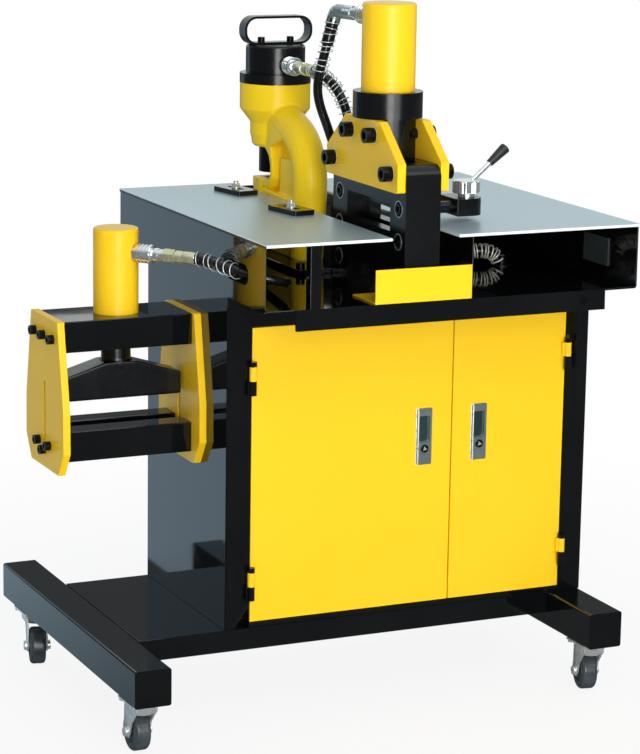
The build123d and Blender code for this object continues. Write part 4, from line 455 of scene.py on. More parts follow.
def add_plate(name, outline, low, high, place, body, slot, finish=None):
    """A flat plate as a piece of its own."""
    mesh = mesh_from(prism(outline, low, high, place), name)
    add_piece(name, mesh, body, slot, finish)


def round_edges(shape, edges, width, **limits):
    bmesh.ops.bevel(
        shape, geom=edges, offset=width, offset_type="OFFSET", segments=2, profile=0.5, affect="EDGES",
        **limits,
    )


def turned_mesh(name, profile, start, way, sides=ROUND_SIDES):
    """A profile, in millimetres along and off an axis, turned about it; six sides make a hexagon."""
    side = way.orthogonal().normalized()
    across = way.cross(side)
    shape = bmesh.new()
    rings = []
    for reach, radius in profile:
        ring = []
        for index in range(sides):
            angle = 2 * math.pi * index / sides
            spoke = side * math.cos(angle) + across * math.sin(angle)
            place = start + way * (reach / MM_PER_METRE) + spoke * (radius / MM_PER_METRE)
            ring.append(shape.verts.new(place))
        rings.append(ring)
    for low, high in zip(rings, rings[1:]):
        for index in range(sides):
            after = (index + 1) % sides
            shape.faces.new((low[index], low[after], high[after], high[index]))
    shape.faces.new(reversed(rings[0]))
    shape.faces.new(rings[-1])
    mesh = mesh_from(shape, name)
    smooth(mesh)
    return mesh


# Hose fittings: where each coupler sits and the way it points, the elbow's end, and lengths along the line
PUNCH_PORT = at(240, 324, 1012.5)
PUNCH_WAY = Vector((0, -1, 0))
SHEAR_PORT = at(259.7, 33.8, 1117)
SHEAR_WAY = Vector((-0.18, 0.98, 0)).normalized()
BENDER_PORT = at(-98.9, 144.7, 743)
BENDER_WAY = Vector((0.635, -0.773, 0)).normalized()
ELBOW_END = at(236.3, 138.7, 1097.6)
ELBOW_WAY = Vector((-0.22, 0.08, -0.97)).normalized()
COUPLER_LENGTH = 0.055
ADAPTER_LENGTH = 0.02
FERRULE_LENGTH = 0.036
FITTING_LENGTH = COUPLER_LENGTH + ADAPTER_LENGTH + FERRULE_LENGTH
HOSE_LEAD = 0.016
HOSE_DIAMETER = 0.015

# Places in millimetres: the deck and the hole in it, the valve block's ports and the hose ends over them
DECK_TOP = 693
DECK_HOLE = (538, 106)
VALVE_PORTS = {"left": 256, "middle": 316, "right": 376}
VALVE_ROW = 92
VALVE_TOP = 395
PORT_TOP = 451

SHEAR_START = ELBOW_END + ELBOW_WAY * FERRULE_LENGTH
PUNCH_START = PUNCH_PORT + PUNCH_WAY * FITTING_LENGTH
BENDER_START = BENDER_PORT + BENDER_WAY * FITTING_LENGTH

SHEAR_ROUTE = [
    SHEAR_START,
    SHEAR_START + ELBOW_WAY * HOSE_LEAD,
    at(220, 157, DECK_TOP + 312),
    at(223, 161, DECK_TOP + 278),
    at(244, 159, DECK_TOP + 226),
    at(270, 160, DECK_TOP + 150),
    at(300, 172, DECK_TOP + 52),
    at(356, 168, DECK_TOP + 13),
    at(425, 144, DECK_TOP + 13),
    at(468, 129, DECK_TOP + 22),
    at(534, 107, DECK_TOP + 26),
    at(*DECK_HOLE, DECK_TOP - 40),
    at(480, 100, DECK_TOP - 150),
    at(392, VALVE_ROW, PORT_TOP + 90),
    at(VALVE_PORTS["right"], VALVE_ROW, PORT_TOP + 40),
    at(VALVE_PORTS["right"], VALVE_ROW, PORT_TOP),
]
PUNCH_ROUTE = [
    PUNCH_START,
    PUNCH_START + PUNCH_WAY * HOSE_LEAD,
    at(250, 154, DECK_TOP + 304),
    at(264, 134, DECK_TOP + 262),
    at(276, 142, DECK_TOP + 200),
    at(300, 136, DECK_TOP + 120),
    at(316, 128, DECK_TOP + 40),
    at(316, 128, DECK_TOP - 60),
    at(316, 100, PORT_TOP + 110),
    at(VALVE_PORTS["middle"], VALVE_ROW, PORT_TOP + 40),
    at(VALVE_PORTS["middle"], VALVE_ROW, PORT_TOP),
]
BENDER_ROUTE = [
    BENDER_START,
    BENDER_START + BENDER_WAY * HOSE_LEAD,
    at(0, -38, DECK_TOP + 44),
    at(38, -74, DECK_TOP + 36),
    at(82, -58, DECK_TOP + 24),
    at(90, 10, DECK_TOP + 18),
    at(88, 84, DECK_TOP + 8),
    at(88, 84, DECK_TOP - 70),
    at(170, 90, PORT_TOP + 120),
    at(VALVE_PORTS["left"], VALVE_ROW, PORT_TOP + 50),
    at(VALVE_PORTS["left"], VALVE_ROW, PORT_TOP),
]

# Each hose: name, route, length, its guard's turns and pitch, and how far the guard covers the fitting
HOSES = (
    ("shear_hose", SHEAR_ROUTE, 0.962, 9, 0.0100, 0.043),
    ("punch_hose", PUNCH_ROUTE, 0.623, 13, 0.0088, 0.001),
    ("bender_hose", BENDER_ROUTE, 0.652, 6, 0.0185, 0.001),
)

# Wire guards, and the rubber sleeve that the bender's hose starts in
GUARD_RADIUS = 0.0118
GUARD_WIRE = 0.0008
GUARD_SLACK = 0.2
DECK_GUARD_WIRE = 0.0012
DECK_GUARD_PITCH = 0.0058
DECK_GUARD_TURNS = 13
DECK_GUARD_END = at(0, 0, DECK_TOP + 5).z
SEARCH_STEP = 0.001
SLEEVE_RADIUS = 0.0095
SLEEVE_STEP = 0.005
SLEEVE_POINTS = 22

# How a wound wire starts, and how unevenly its turns lie: share of the slack, radians per turn, and phase
WINDING_START = Vector((0.31, 0.42, 0.85))
LEAN_WAVES = ((1.0, 2.1, 0.0), (0.6, 5.3, 1.0))
REACH_WAVE = (0.12, 3.7)
POINTS_PER_TURN = 20

# Return springs, each with the joint that presses it together and that joint's stroke on it
SPRING_WIRE = 0.002
SPRING_TURNS = 7
SPRINGS = {
    "punch_return_spring": ("punch_ram_slide", 0.0165),
    "shear_return_spring": ("shear_ram_slide", 0.030),
    "bender_return_spring": ("bender_ram_slide", 0.040),
}


def open_curve(name, points, kind):
    """A curve of one open spline with these points."""
    data = bpy.data.curves.new(name, "CURVE")
    data.dimensions = "3D"
    data.use_fill_caps = True
    spline = data.splines.new(kind)
    spline.points.add(len(points) - 1)
    for point, place in zip(spline.points, points):
        point.co = (*place, 1.0)
    return data


def bent_curve(name, route):
    """A curve that rounds off the corners of its route."""
    data = open_curve(name, route, "NURBS")
    data.resolution_u = CURVE_STEPS
    spline = data.splines[0]
    spline.order_u = 3
    spline.use_endpoint_u = True
    return data


def centre_line(piece):
    """Points along a curve that has no bevel yet."""
    mesh = bpy.data.meshes.new_from_object(piece)
    points = [vertex.co.copy() for vertex in mesh.vertices]
    bpy.data.meshes.remove(mesh)
    return points


def make_hose(name, route):
    """A hose along its route; its points carry the radius, so that its box stays as thin as the hose."""
    piece = add_piece(name, bent_curve(name, route), "machine", "hose_rubber")
    line = centre_line(piece)
    for point in piece.data.splines[0].points:
        point.radius = HOSE_DIAMETER / 2
    piece.data.bevel_depth = 1.0
    piece.data.bevel_resolution = HOSE_ROUNDNESS
    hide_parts("hydraulic_hoses")
    return line


def along(line, distance):
    """The place and the direction at a distance along a line of points."""
    for first, second in zip(line, line[1:]):
        step = second - first
        if distance <= step.length:
            break
        distance -= step.length
    way = step.normalized()
    return first + way * distance, way


def line_length(line):
    return sum((second - first).length for first, second in zip(line, line[1:]))


def winding(line, begin, turns, pitch, radius, slack):
    """Points of a wire wound about a line; slack lets single turns stand off or lean."""
    side = WINDING_START
    reach_share, reach_rate = REACH_WAVE
    points = []
    for index in range(turns * POINTS_PER_TURN + 1):
        turn = index / POINTS_PER_TURN
        lean = sum(share * slack * math.sin(rate * turn + phase) for share, rate, phase in LEAN_WAVES)
        centre, way = along(line, begin + pitch * (turn + lean))
        side = (side - way * side.dot(way)).normalized()
        angle = 2 * math.pi * turn
        reach = radius * (1 + reach_share * slack * math.sin(reach_rate * turn))
        points.append(centre + (side * math.cos(angle) + way.cross(side) * math.sin(angle)) * reach)
    return points


def wire_mesh(name, points, radius):
    """A round wire through a run of points, as a mesh."""
    data = open_curve(name, points, "POLY")
    data.bevel_depth = radius
    data.bevel_resolution = WIRE_ROUNDNESS
    shape = bpy.data.objects.new(name, data)
    mesh = bpy.data.meshes.new_from_object(shape)
    bpy.data.objects.remove(shape)
    bpy.data.curves.remove(data)
    for polygon in mesh.polygons:
        polygon.use_smooth = True
    return mesh


def make_guard(name, line, begin, turns, pitch, wire=GUARD_WIRE, finish=None):
    points = winding(line, begin, turns, pitch, GUARD_RADIUS, GUARD_SLACK)
    mesh = wire_mesh(name, points, wire)
    add_piece(name, mesh, "machine", "zinc", finish, stands_for="hose_guards")


def make_deck_guard(line):
    """Guard that ends round the collar where the shear hose goes down through the deck."""
    end = line_length(line)
    while along(line, end)[0].z < DECK_GUARD_END:
        end -= SEARCH_STEP
    begin = end - DECK_GUARD_TURNS * DECK_GUARD_PITCH
    # Its wire is painted near white as a painted highlight
    make_guard(
        "deck_guard", line, begin, DECK_GUARD_TURNS, DECK_GUARD_PITCH, DECK_GUARD_WIRE, "guard_wire_painted_highlight"
    )


def make_hose_sleeve(line):
    points = [along(line, SLEEVE_STEP * step)[0] for step in range(SLEEVE_POINTS)]
    mesh = wire_mesh("bender_hose_sleeve", points, SLEEVE_RADIUS)
    add_piece("bender_hose_sleeve", mesh, "machine", "hose_rubber", stands_for="hydraulic_hoses")


def make_hoses():
    for name, route, length, turns, pitch, overlap in HOSES:
        line = make_hose(name, route)
        back = (route[0] - route[1]).normalized() * overlap
        make_guard(name + "_guard", [route[0] + back] + line, 0.0, turns, pitch)
        if name == "shear_hose":
            make_deck_guard(line)
        if name == "bender_hose":
            make_hose_sleeve(line)


def make_spring(node):
    """A return spring's coil, wound over its node's height; its ram presses it towards its lower end, but
    the coil here does not shorten.
    """
    low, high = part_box(node)
    radius = (high.x - low.x) / 2 - SPRING_WIRE
    foot = Vector(((low.x + high.x) / 2, (low.y + high.y) / 2, low.z + SPRING_WIRE))
    height = high.z - low.z - 2 * SPRING_WIRE
    axis = [foot, foot + UP * height]
    points = winding(axis, 0.0, SPRING_TURNS, height / SPRING_TURNS, radius, 0.0)
    mesh = wire_mesh(node + "_coil", points, SPRING_WIRE)
    piece = add_piece(node + "_coil", mesh, "machine", "zinc", stands_for=node)
    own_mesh(piece)


# Hose fittings as profiles: distance along the axis and radius, in millimetres
HEX_SEAT = [(0, 12.4), (0.8, 13.6), (7.2, 13.6), (8, 12.4)]
COUPLER_SLEEVE = [
    (8, 13.4), (9, 15), (12, 15), (12.6, 13.8), (15, 13.8), (15.6, 15), (18.6, 15), (19.2, 13.8),
    (21.6, 13.8), (22.2, 15), (25.2, 15), (25.8, 13.8), (28.2, 13.8), (28.8, 15.2), (33, 15.2), (34, 14.2),
]
COUPLER_NECK = [(34, 10.4), (35, 10.8), (46, 10.8), (47, 9.6), (55, 9.6)]
ADAPTER_HEX = [(0, 10.4), (0.8, 12), (12, 12), (12.8, 11), (14, 11), (14.8, 12), (19.2, 12), (20, 10.4)]
FERRULE = [(0, 9.2), (1, 10), (12, 10), (12.8, 9.5), (14.2, 9.5), (15, 10), (34.5, 10), (36, 9)]
DECK_COLLAR = [(0, 20), (2.4, 20), (3, 19.4), (3, 10), (15.2, 10), (16, 9.2), (16, 7.9), (0, 7.9)]
ELBOW_SLEEVE = [(0, 9.9), (1, 10.6), (12, 10.6), (13, 9.9)]

# The shear line's elbow: the way to its turn, the share of it run straight, its radius, its sleeve's overlap
ELBOW_TURN = 0.105
ELBOW_STRAIGHT = 0.75
ELBOW_RADIUS = 0.0112
ELBOW_OVERLAP = 0.011


def add_turned(name, profile, start, way, slot, sides=ROUND_SIDES):
    mesh = turned_mesh(name, profile, start, way, sides)
    add_piece(name, mesh, "machine", slot, stands_for="hose_fittings")


def add_hose_end(name, start, way):
    add_turned(name + "_adapter", ADAPTER_HEX, start, way, "fitting_brass", HEX_SIDES)
    add_turned(name + "_ferrule", FERRULE, start + way * ADAPTER_LENGTH, way, "fitting_brass")


def make_fittings():
    for name, port, way in (
        ("punch", PUNCH_PORT, PUNCH_WAY),
        ("shear", SHEAR_PORT, SHEAR_WAY),
        ("bender", BENDER_PORT, BENDER_WAY),
    ):
        add_turned(name + "_port_hex", HEX_SEAT, port, way, "chrome", HEX_SIDES)
        add_turned(name + "_coupler_sleeve", COUPLER_SLEEVE, port, way, "chrome")
        add_turned(name + "_coupler_neck", COUPLER_NECK, port, way, "chrome")
    add_hose_end("punch_line", PUNCH_PORT + PUNCH_WAY * COUPLER_LENGTH, PUNCH_WAY)
    add_hose_end("bender_line", BENDER_PORT + BENDER_WAY * COUPLER_LENGTH, BENDER_WAY)
    for name, x in VALVE_PORTS.items():
        add_hose_end(name + "_valve_port", at(x, VALVE_ROW, VALVE_TOP), UP)
    add_turned("deck_collar", DECK_COLLAR, at(*DECK_HOLE, DECK_TOP), UP, "black_steel")
    make_elbow()


def make_elbow():
    """Swept elbow on the shear's coupler, with the hose end below it."""
    start = SHEAR_PORT + SHEAR_WAY * COUPLER_LENGTH
    turn = SHEAR_PORT + SHEAR_WAY * ELBOW_TURN
    add_turned("shear_line_adapter", ADAPTER_HEX, start, SHEAR_WAY, "chrome", HEX_SIDES)
    bend = bent_curve("elbow_line", [start, start.lerp(turn, ELBOW_STRAIGHT), turn, ELBOW_END])
    shape = bpy.data.objects.new("elbow_line", bend)
    line = centre_line(shape)
    bpy.data.objects.remove(shape)
    mesh = wire_mesh("shear_elbow", line, ELBOW_RADIUS)
    add_piece("shear_elbow", mesh, "machine", "chrome", "latch_metal", stands_for="hose_fittings")
    add_turned("shear_line_end", FERRULE, ELBOW_END, ELBOW_WAY, "hose_rubber")
    sleeve_start = ELBOW_END - ELBOW_WAY * ELBOW_OVERLAP
    add_turned("shear_line_sleeve", ELBOW_SLEEVE, sleeve_start, ELBOW_WAY, "hose_rubber")


# Punch casting: its axis at the deck; in millimetres, outlines to the back and up from there, half widths
PUNCH_AXIS = at(240, 372, DECK_TOP)
CASTING_WEB = [
    (-176, 8), (-34, 8), (24, 80), (30, 94), (30, 125.5), (-30, 125.5), (-38, 128), (-42.5, 136),
    (-42.5, 152), (-36, 167), (-22, 177), (0, 179), (0, 243), (-40, 243), (-96, 214), (-132, 180),
    (-146, 140), (-144, 80), (-150, 30),
]
CASTING_BASE = [(-136, 8), (-34, 8), (24, 80), (30, 94), (30, 112), (-40, 108), (-136, 104)]
CASTING_PAD = [(-130, 106), (-60, 106), (-62, 166), (-126, 170)]
CASTING_SHOULDER = [
    (-8, 186), (-30, 180), (-48, 184), (-70, 194), (-90, 202), (-106, 198), (-118, 186), (-128, 190),
    (-112, 212), (-64, 236), (-8, 246),
]
THROAT_RIM = [
    (30, 125.5), (-30, 125.5), (-38, 128), (-42.5, 136), (-42.5, 152), (-36, 167), (-22, 177), (-18, 192),
    (-44, 180), (-52, 156), (-52, 130), (-40, 114), (30, 110),
]
SPINE_LINE = [
    (-16, 236), (-64, 224), (-112, 206), (-140, 178), (-150, 140), (-147, 100), (-142, 60), (-136, 8),
]
WEB_HALF = 8
RIM_HALF = 27
PAD_HALF = 17
BASE_HALF = 26
SHOULDER_HALF = 27.5
SPINE_RADIUS = 28.5

# Turned forms of the casting: height over the deck and radius, in millimetres
BARREL = [(179, 34), (184, 38.5), (196, 40), (199, 41.5), (220, 41.5), (243, 59.5), (300, 59.5)]
JAW_BOSS = [(78, 26), (82, 30), (125.5, 30)]
CASTING_BORE = [
    (-5, 11), (105.5, 11), (105.6, 16.5), (170, 16.5), (170.1, 26.6), (212, 26.6), (212.1, 38), (286.5, 38),
    (286.51, 80), (320, 80),
]

# How its forms are run together: grain in metres, rounds and strength of smoothing, angle of sharp edges
CASTING_GRAIN = 0.0017
CASTING_ROUNDS = 6
SMOOTH_FACTOR = 0.5
CASTING_SMOOTH_ANGLE = math.radians(40)

# Plate that the casting stands on: two corners in millimetres from the punch axis, rounding in metres
FOOT_PLATE = ((-62, -244, 0), (62, -20, 8))
FOOT_PLATE_BEVEL = 0.001


def casting_point(x, y, z):
    return PUNCH_AXIS + metres(x, y, z)


def casting_blank():
    """The casting's main forms, overlapping and still sharp."""
    shape = bmesh.new()
    for outline, half in (
        (CASTING_WEB, WEB_HALF),
        (THROAT_RIM, RIM_HALF),
        (CASTING_PAD, PAD_HALF),
        (CASTING_BASE, BASE_HALF),
        (CASTING_SHOULDER, SHOULDER_HALF),
    ):
        add_prism(shape, outline, -half, half, lambda y, z, x: casting_point(x, y, z))
    spine = bent_curve("spine_line", [casting_point(0, y, z) for y, z in SPINE_LINE])
    spine.bevel_depth = SPINE_RADIUS / MM_PER_METRE
    spine.bevel_resolution = SPINE_ROUNDNESS
    tube = bpy.data.objects.new("spine_line", spine)
    for mesh in (
        bpy.data.meshes.new_from_object(tube),
        turned_mesh("barrel", BARREL, PUNCH_AXIS, UP, FINE_SIDES),
        turned_mesh("jaw_boss", JAW_BOSS, PUNCH_AXIS, UP, FINE_SIDES),
    ):
        shape.from_mesh(mesh)
    bmesh.ops.recalc_face_normals(shape, faces=shape.faces)
    bpy.data.objects.remove(tube)
    return shape


def run_together(name, shape, grain, rounds):
    """An object that joins overlapping closed forms into one smooth skin."""
    blank = new_object(name, mesh_from(shape, name))
    remesh = blank.modifiers.new("remesh", "REMESH")
    remesh.mode = "VOXEL"
    remesh.voxel_size = grain
    even = blank.modifiers.new("even", "SMOOTH")
    even.factor = SMOOTH_FACTOR
    even.iterations = rounds
    return blank


def finished_mesh(piece):
    """The mesh that a piece's modifiers make."""
    graph = bpy.context.evaluated_depsgraph_get()
    return bpy.data.meshes.new_from_object(piece.evaluated_get(graph))


def make_casting():
    """The C-shaped casting with its forms run together and its bore drilled."""
    blank = run_together("casting_blank", casting_blank(), CASTING_GRAIN, CASTING_ROUNDS)
    bore_mesh = turned_mesh("casting_bore", CASTING_BORE, PUNCH_AXIS, UP, FINE_SIDES)
    bore = new_object("casting_bore", bore_mesh)
    drill = blank.modifiers.new("drill", "BOOLEAN")
    drill.operation = "DIFFERENCE"
    drill.object = bore
    mesh = finished_mesh(blank)
    for piece in (blank, bore):
        bpy.data.objects.remove(piece)
    smooth(mesh, CASTING_SMOOTH_ANGLE)
    add_piece("punch_casting", mesh, "machine", "yellow_paint", "casting_yellow", stands_for="punch_frame")


def make_foot_plate():
    """Plate under the casting, with its edges rounded, painted black as painted shade under the table."""
    low, high = (casting_point(*corner) for corner in FOOT_PLATE)
    shape = bmesh.new()
    box = bmesh.ops.create_cube(shape, size=1.0)
    bmesh.ops.scale(shape, vec=high - low, verts=box["verts"])
    bmesh.ops.translate(shape, vec=(low + high) / 2, verts=box["verts"])
    round_edges(shape, shape.edges, FOOT_PLATE_BEVEL)
    mesh = mesh_from(shape, "punch_foot_plate")
    # Painted shade: black paint where the plate lies in the table's shade
    add_piece("punch_foot_plate", mesh, "machine", "black_paint", stands_for="punch_frame")


# Rounding of the solids' own edges: its width for each node, and which edges take it
BEVELS = {
    "foot_beams": 0.0012, "base_tray": 0.001, "left_side_panel": 0.0006, "right_side_panel": 0.0006,
    "back_panels": 0.0006, "door_frame": 0.0006, "left_door": 0.001, "right_door": 0.001,
    "deck_plate": 0.0012, "table_supports": 0.0008, "left_table": 0.0008, "right_table": 0.0008,
    "rear_stop": 0.0008, "front_stop": 0.0008, "shear_side_plates": 0.0012,
    "shear_front_plate": 0.0008, "hold_down_arm": 0.0012, "bender_side_plates": 0.0012,
    "bender_top_beam": 0.0015, "bender_bed": 0.0015,
    "left_latch": 0.0008, "right_latch": 0.0008,
}
BEVEL_ANGLE = math.radians(40)
BEVEL_LENGTH_RATIO = 8
WELD_DISTANCE = 0.00001
FLAT_ANGLE = math.radians(1)


def takes_bevel(edge, width):
    if len(edge.link_faces) != 2 or not edge.is_convex:
        return False
    return edge.calc_face_angle() > BEVEL_ANGLE and edge.calc_length() > BEVEL_LENGTH_RATIO * width


def bevelled(name, width):
    """A copy of a rigid node whose long outside edges are rounded."""
    node = frame["nodes"][name]
    mesh = node.data.copy()
    if "custom_normal" in mesh.attributes:
        mesh.attributes.remove(mesh.attributes["custom_normal"])
    shape = bmesh.new()
    shape.from_mesh(mesh)
    bmesh.ops.remove_doubles(shape, verts=shape.verts, dist=WELD_DISTANCE)
    bmesh.ops.dissolve_limit(shape, angle_limit=FLAT_ANGLE, verts=shape.verts, edges=shape.edges)
    edges = [edge for edge in shape.edges if takes_bevel(edge, width)]
    round_edges(shape, edges, width, clamp_overlap=False)
    shape.to_mesh(mesh)
    shape.free()
    smooth(mesh)
    piece = new_object(name + "_dressed", mesh)
    weighted = piece.modifiers.new("weighted", "WEIGHTED_NORMAL")
    weighted.keep_sharp = True
    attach(piece, node["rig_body"])
    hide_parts(name)


# Bender's press block: its ram's axis on the floor; in millimetres, outline across and up, hub, depth, pins
PRESS_AXIS = Vector((-0.319, -0.00105, 0))
PRESS_OUTLINE = [(-102.5, 509), (102.5, 509), (102.5, 545), (25, 568), (-25, 568), (-102.5, 545)]
PRESS_HUB = [(548, 24), (562, 25.5), (572, 24), (592, 23.5)]
PRESS_HALF_DEPTH = 25
PIN_REACH = 117.5
PIN_HEIGHT = 527
PIN_RADIUS = 4.4

# How the block and its hub are run together: grain in metres and rounds of smoothing
PRESS_GRAIN = 0.0016
PRESS_ROUNDS = 5


def make_press_block():
    """Press block with its hub run into the slopes."""
    shape = prism(
        PRESS_OUTLINE, -PRESS_HALF_DEPTH, PRESS_HALF_DEPTH,
        lambda x, z, y: PRESS_AXIS + metres(x, y, z),
    )
    shape.from_mesh(turned_mesh("press_hub", PRESS_HUB, PRESS_AXIS, UP))
    blank = run_together("press_block_blank", shape, PRESS_GRAIN, PRESS_ROUNDS)
    mesh = finished_mesh(blank)
    bpy.data.objects.remove(blank)
    mesh.shade_smooth()
    body = frame["nodes"]["bender_press_block"]["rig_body"]
    add_piece("press_block", mesh, body, "black_paint", "satin_black", stands_for="bender_press_block")


def make_press_pins():
    """Guide pins at the press block's ends, as one rod through it."""
    start = PRESS_AXIS + metres(-PIN_REACH, 0, PIN_HEIGHT)
    profile = [(0, PIN_RADIUS), (2 * PIN_REACH, PIN_RADIUS)]
    mesh = turned_mesh("press_pins", profile, start, Vector((1, 0, 0)), PIN_SIDES)
    body = frame["nodes"]["bender_press_block"]["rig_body"]
    add_piece("press_pins", mesh, body, "black_paint", stands_for="bender_press_block")


# Pressed caster forks, in millimetres: outlines along the trail and up from the floor, turned forms, sizes
FORK_TOP = 86.9
FORK_CHEEK = [
    (-22, FORK_TOP), (25, FORK_TOP), (33, 74), (34, 50), (33, 30), (28, 22), (17, 22), (11, 30), (3, 50),
    (-12, 66), (-22, 74),
]
FORK_SADDLE = rectangle(-22, 80, 25, FORK_TOP)
FORK_DOME = [(66, 12), (68, 19), (74, 23.5), (FORK_TOP, 24.5)]
FORK_AXLE = [(-22.5, 6.5), (-21.5, 8), (-17.6, 8), (-17.5, 5), (17.5, 5), (17.6, 8), (21.5, 8), (22.5, 6.5)]
FORK_INNER = 14.5
FORK_OUTER = 17.5
FORK_TRAIL = 22
WHEEL_RADIUS = 31.5

# Rounding of the pressed edges, in metres
FORK_BEVEL = 0.0007

# Each caster's place in millimetres and its angle at rest in degrees
CASTERS = {
    "front_left": (-374.5, -267.05, 0), "rear_left": (-374.5, 240.95, 166),
    "front_right": (419.5, -267.05, -12), "rear_right": (419.5, 240.95, 160),
}


def make_fork(name):
    """Pressed fork: two cheeks, a saddle and the race dome over the wheel."""
    middle_x, middle_y, turn = CASTERS[name]
    seat = Matrix.Translation(metres(middle_x, middle_y, 0)) @ Matrix.Rotation(math.radians(turn), 4, "Z")
    shape = bmesh.new()
    for outline, low, high in (
        (FORK_CHEEK, FORK_INNER, FORK_OUTER),
        (FORK_CHEEK, -FORK_OUTER, -FORK_INNER),
        (FORK_SADDLE, -FORK_OUTER, FORK_OUTER),
    ):
        plate = prism(outline, low, high, lambda y, z, x: seat @ metres(x, y, z))
        round_edges(plate, plate.edges, FORK_BEVEL)
        shape.from_mesh(mesh_from(plate, "fork_plate"))
    axle = seat @ metres(0, FORK_TRAIL, WHEEL_RADIUS)
    across = seat.to_3x3() @ Vector((1, 0, 0))
    shape.from_mesh(turned_mesh("fork_dome", FORK_DOME, seat.translation, UP))
    shape.from_mesh(turned_mesh("fork_axle", FORK_AXLE, axle, across, PIN_SIDES))
    mesh = mesh_from(shape, "fork_" + name)
    smooth(mesh)
    node = "caster_fork_" + name
    add_piece("fork_" + name, mesh, frame["nodes"][node]["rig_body"], "zinc", stands_for=node)


# Bright rings round the shear's sunk screws: depth and height in millimetres
PLATE_SCREWS = [(-219.1, 940), (-137.1, 940), (-282.1, 888), (-74.0, 888)]
BODY_SCREWS = [(y, z) for y in (-285.1, -71.0) for z in (727, 782, 833)]
SHEAR_MIDDLE = 68.5
PLATE_FACE = 44.0
BODY_FACE = 30.0
PLATE_RING = [(-0.2, 13.4), (0.4, 13.4), (0.4, 12.1), (-0.2, 12.1)]
BODY_RING = [(-0.2, 13.2), (0.3, 13.2), (0.3, 12.1), (-0.2, 12.1)]


def make_screw_rings():
    for side, sign in (("left", -1), ("right", 1)):
        way = Vector((sign, 0, 0))
        for kind, places, face, ring in (
            ("plate", PLATE_SCREWS, PLATE_FACE, PLATE_RING),
            ("body", BODY_SCREWS, BODY_FACE, BODY_RING),
        ):
            for index, (y, z) in enumerate(places):
                name = f"{kind}_ring_{index}_{side}"
                start = metres(SHEAR_MIDDLE + sign * face, y, z)
                add_piece(name, turned_mesh(name, ring, start, way), "machine", "zinc")


# Top of the shear's front spacer, in millimetres
SHEAR_FRONT = -310.05
SHEAR_CREST = 902
SHEAR_ROUND = 20
SHEAR_ROUND_STEPS = 9
SPACER_DEPTH = 38
SPACER_HALF = 9.95


def make_shear_cap():
    """Top of the shear's front spacer, closed flush with the rounded plates."""
    springing = SHEAR_CREST - SHEAR_ROUND
    rear = SHEAR_FRONT + SPACER_DEPTH
    outline = [(SHEAR_FRONT, springing), (rear, springing), (rear, SHEAR_CREST)]
    for step in range(SHEAR_ROUND_STEPS + 1):
        angle = math.radians(90 + 90 * step / SHEAR_ROUND_STEPS)
        y = SHEAR_FRONT + SHEAR_ROUND + SHEAR_ROUND * math.cos(angle)
        outline.append((y, springing + SHEAR_ROUND * math.sin(angle)))
    add_plate(
        "shear_spacer_top", outline, SHEAR_MIDDLE - SPACER_HALF, SHEAR_MIDDLE + SPACER_HALF,
        side_view, "machine", "black_paint", "satin_black",
    )


# Blanking plate on the right panel: middle, size, and how far its faces lie off the panel's, in millimetres
COVER_CENTRE = (-195.05, 735)
COVER_SIZE = (78.6, 45.6)
COVER_FACES = (-0.3, 2.9)


def make_cover_plate():
    """Blanking plate on the inside of the right panel, a shade duller than the panel."""
    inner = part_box("right_side_panel")[0].x * MM_PER_METRE
    y, z = COVER_CENTRE
    half_depth, half_height = (size / 2 for size in COVER_SIZE)
    outline = rectangle(y - half_depth, z - half_height, y + half_depth, z + half_height)
    low, high = (inner + face for face in COVER_FACES)
    add_plate("cover_plate", outline, low, high, side_view, "machine", "black_paint", "cover_grey")


# Dark strip painted as shade on the left table's side: how far up it reaches, and how far it stands off
SHADOW_STRIP_HEIGHT = 0.0031
SHADOW_STRIP_PROUD = 0.0003


def make_shadow_strip():
    """Dark strip along the lower half of the left table's side, a painted shadow line under its bright top
    edge.
    """
    low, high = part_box("left_table")
    add_plate(
        "table_shadow_strip", rectangle(low.y, low.z, high.y, low.z + SHADOW_STRIP_HEIGHT),
        low.x - SHADOW_STRIP_PROUD, low.x + SHADOW_STRIP_PROUD, lambda y, z, x: Vector((x, y, z)),
        "machine", "black_steel",
    )


# Full hexagon of the hold-down's nut: height over the floor and radius in millimetres
NUT_AXIS = Vector((0.2025, -0.19505, 0))
NUT_SHELL = [(838.2, 20.5), (839.6, 22.6), (857.2, 22.6), (859, 20.5)]


def make_nut_shell():
    mesh = turned_mesh("nut_shell", NUT_SHELL, NUT_AXIS, UP, HEX_SIDES)
    add_piece("nut_shell", mesh, frame["nodes"]["hold_down_nut"]["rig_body"], "zinc")


# Latches: the rim's section from the plate's left front edge, the rim painted brighter as a highlight, and
# the finger well, whose floor is painted darker as shade
RIM_SECTION = [(-0.0008, 0.003), (-0.0008, 0.0012), (0.0032, -0.0006), (0.0036, 0.003)]
WELL_RISE = 0.012
WELL_HALF = 0.0088
WELL_HEIGHT = 0.042
WELL_DEPTH = 0.0062
WELL_HALF_SHEET = 0.0004

# Key pins: places across and height, profile in millimetres, sides, and how deep they are sunk
KEY_PLACES = {"left": 0.149, "right": 0.249}
KEY_HEIGHT = 0.4195
KEY_PIN = [(0, 4.4), (0.8, 4.4), (1.2, 3.8)]
KEY_PIN_SIDES = 3
KEY_PIN_SINK = 0.0002


def make_latch_rim(side):
    """Folded rim down the left of a latch, in brighter zinc than the plate as a painted highlight."""
    low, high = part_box(side + "_latch")
    outline = [(low.x + x, low.y + y) for x, y in RIM_SECTION]
    add_plate(
        side + "_latch_rim", outline, low.z, high.z, lambda x, y, z: Vector((x, y, z)),
        frame["nodes"][side + "_latch"]["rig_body"], "zinc",
    )


def make_key_pin(side):
    """Three-sided key pin in a latch's lock."""
    key = side + "_key_cam"
    start = Vector((KEY_PLACES[side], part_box(key)[0].y + KEY_PIN_SINK, KEY_HEIGHT))
    mesh = turned_mesh(side + "_key_pin", KEY_PIN, start, Vector((0, -1, 0)), KEY_PIN_SIDES)
    add_piece(side + "_key_pin", mesh, frame["nodes"][key]["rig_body"], "zinc")


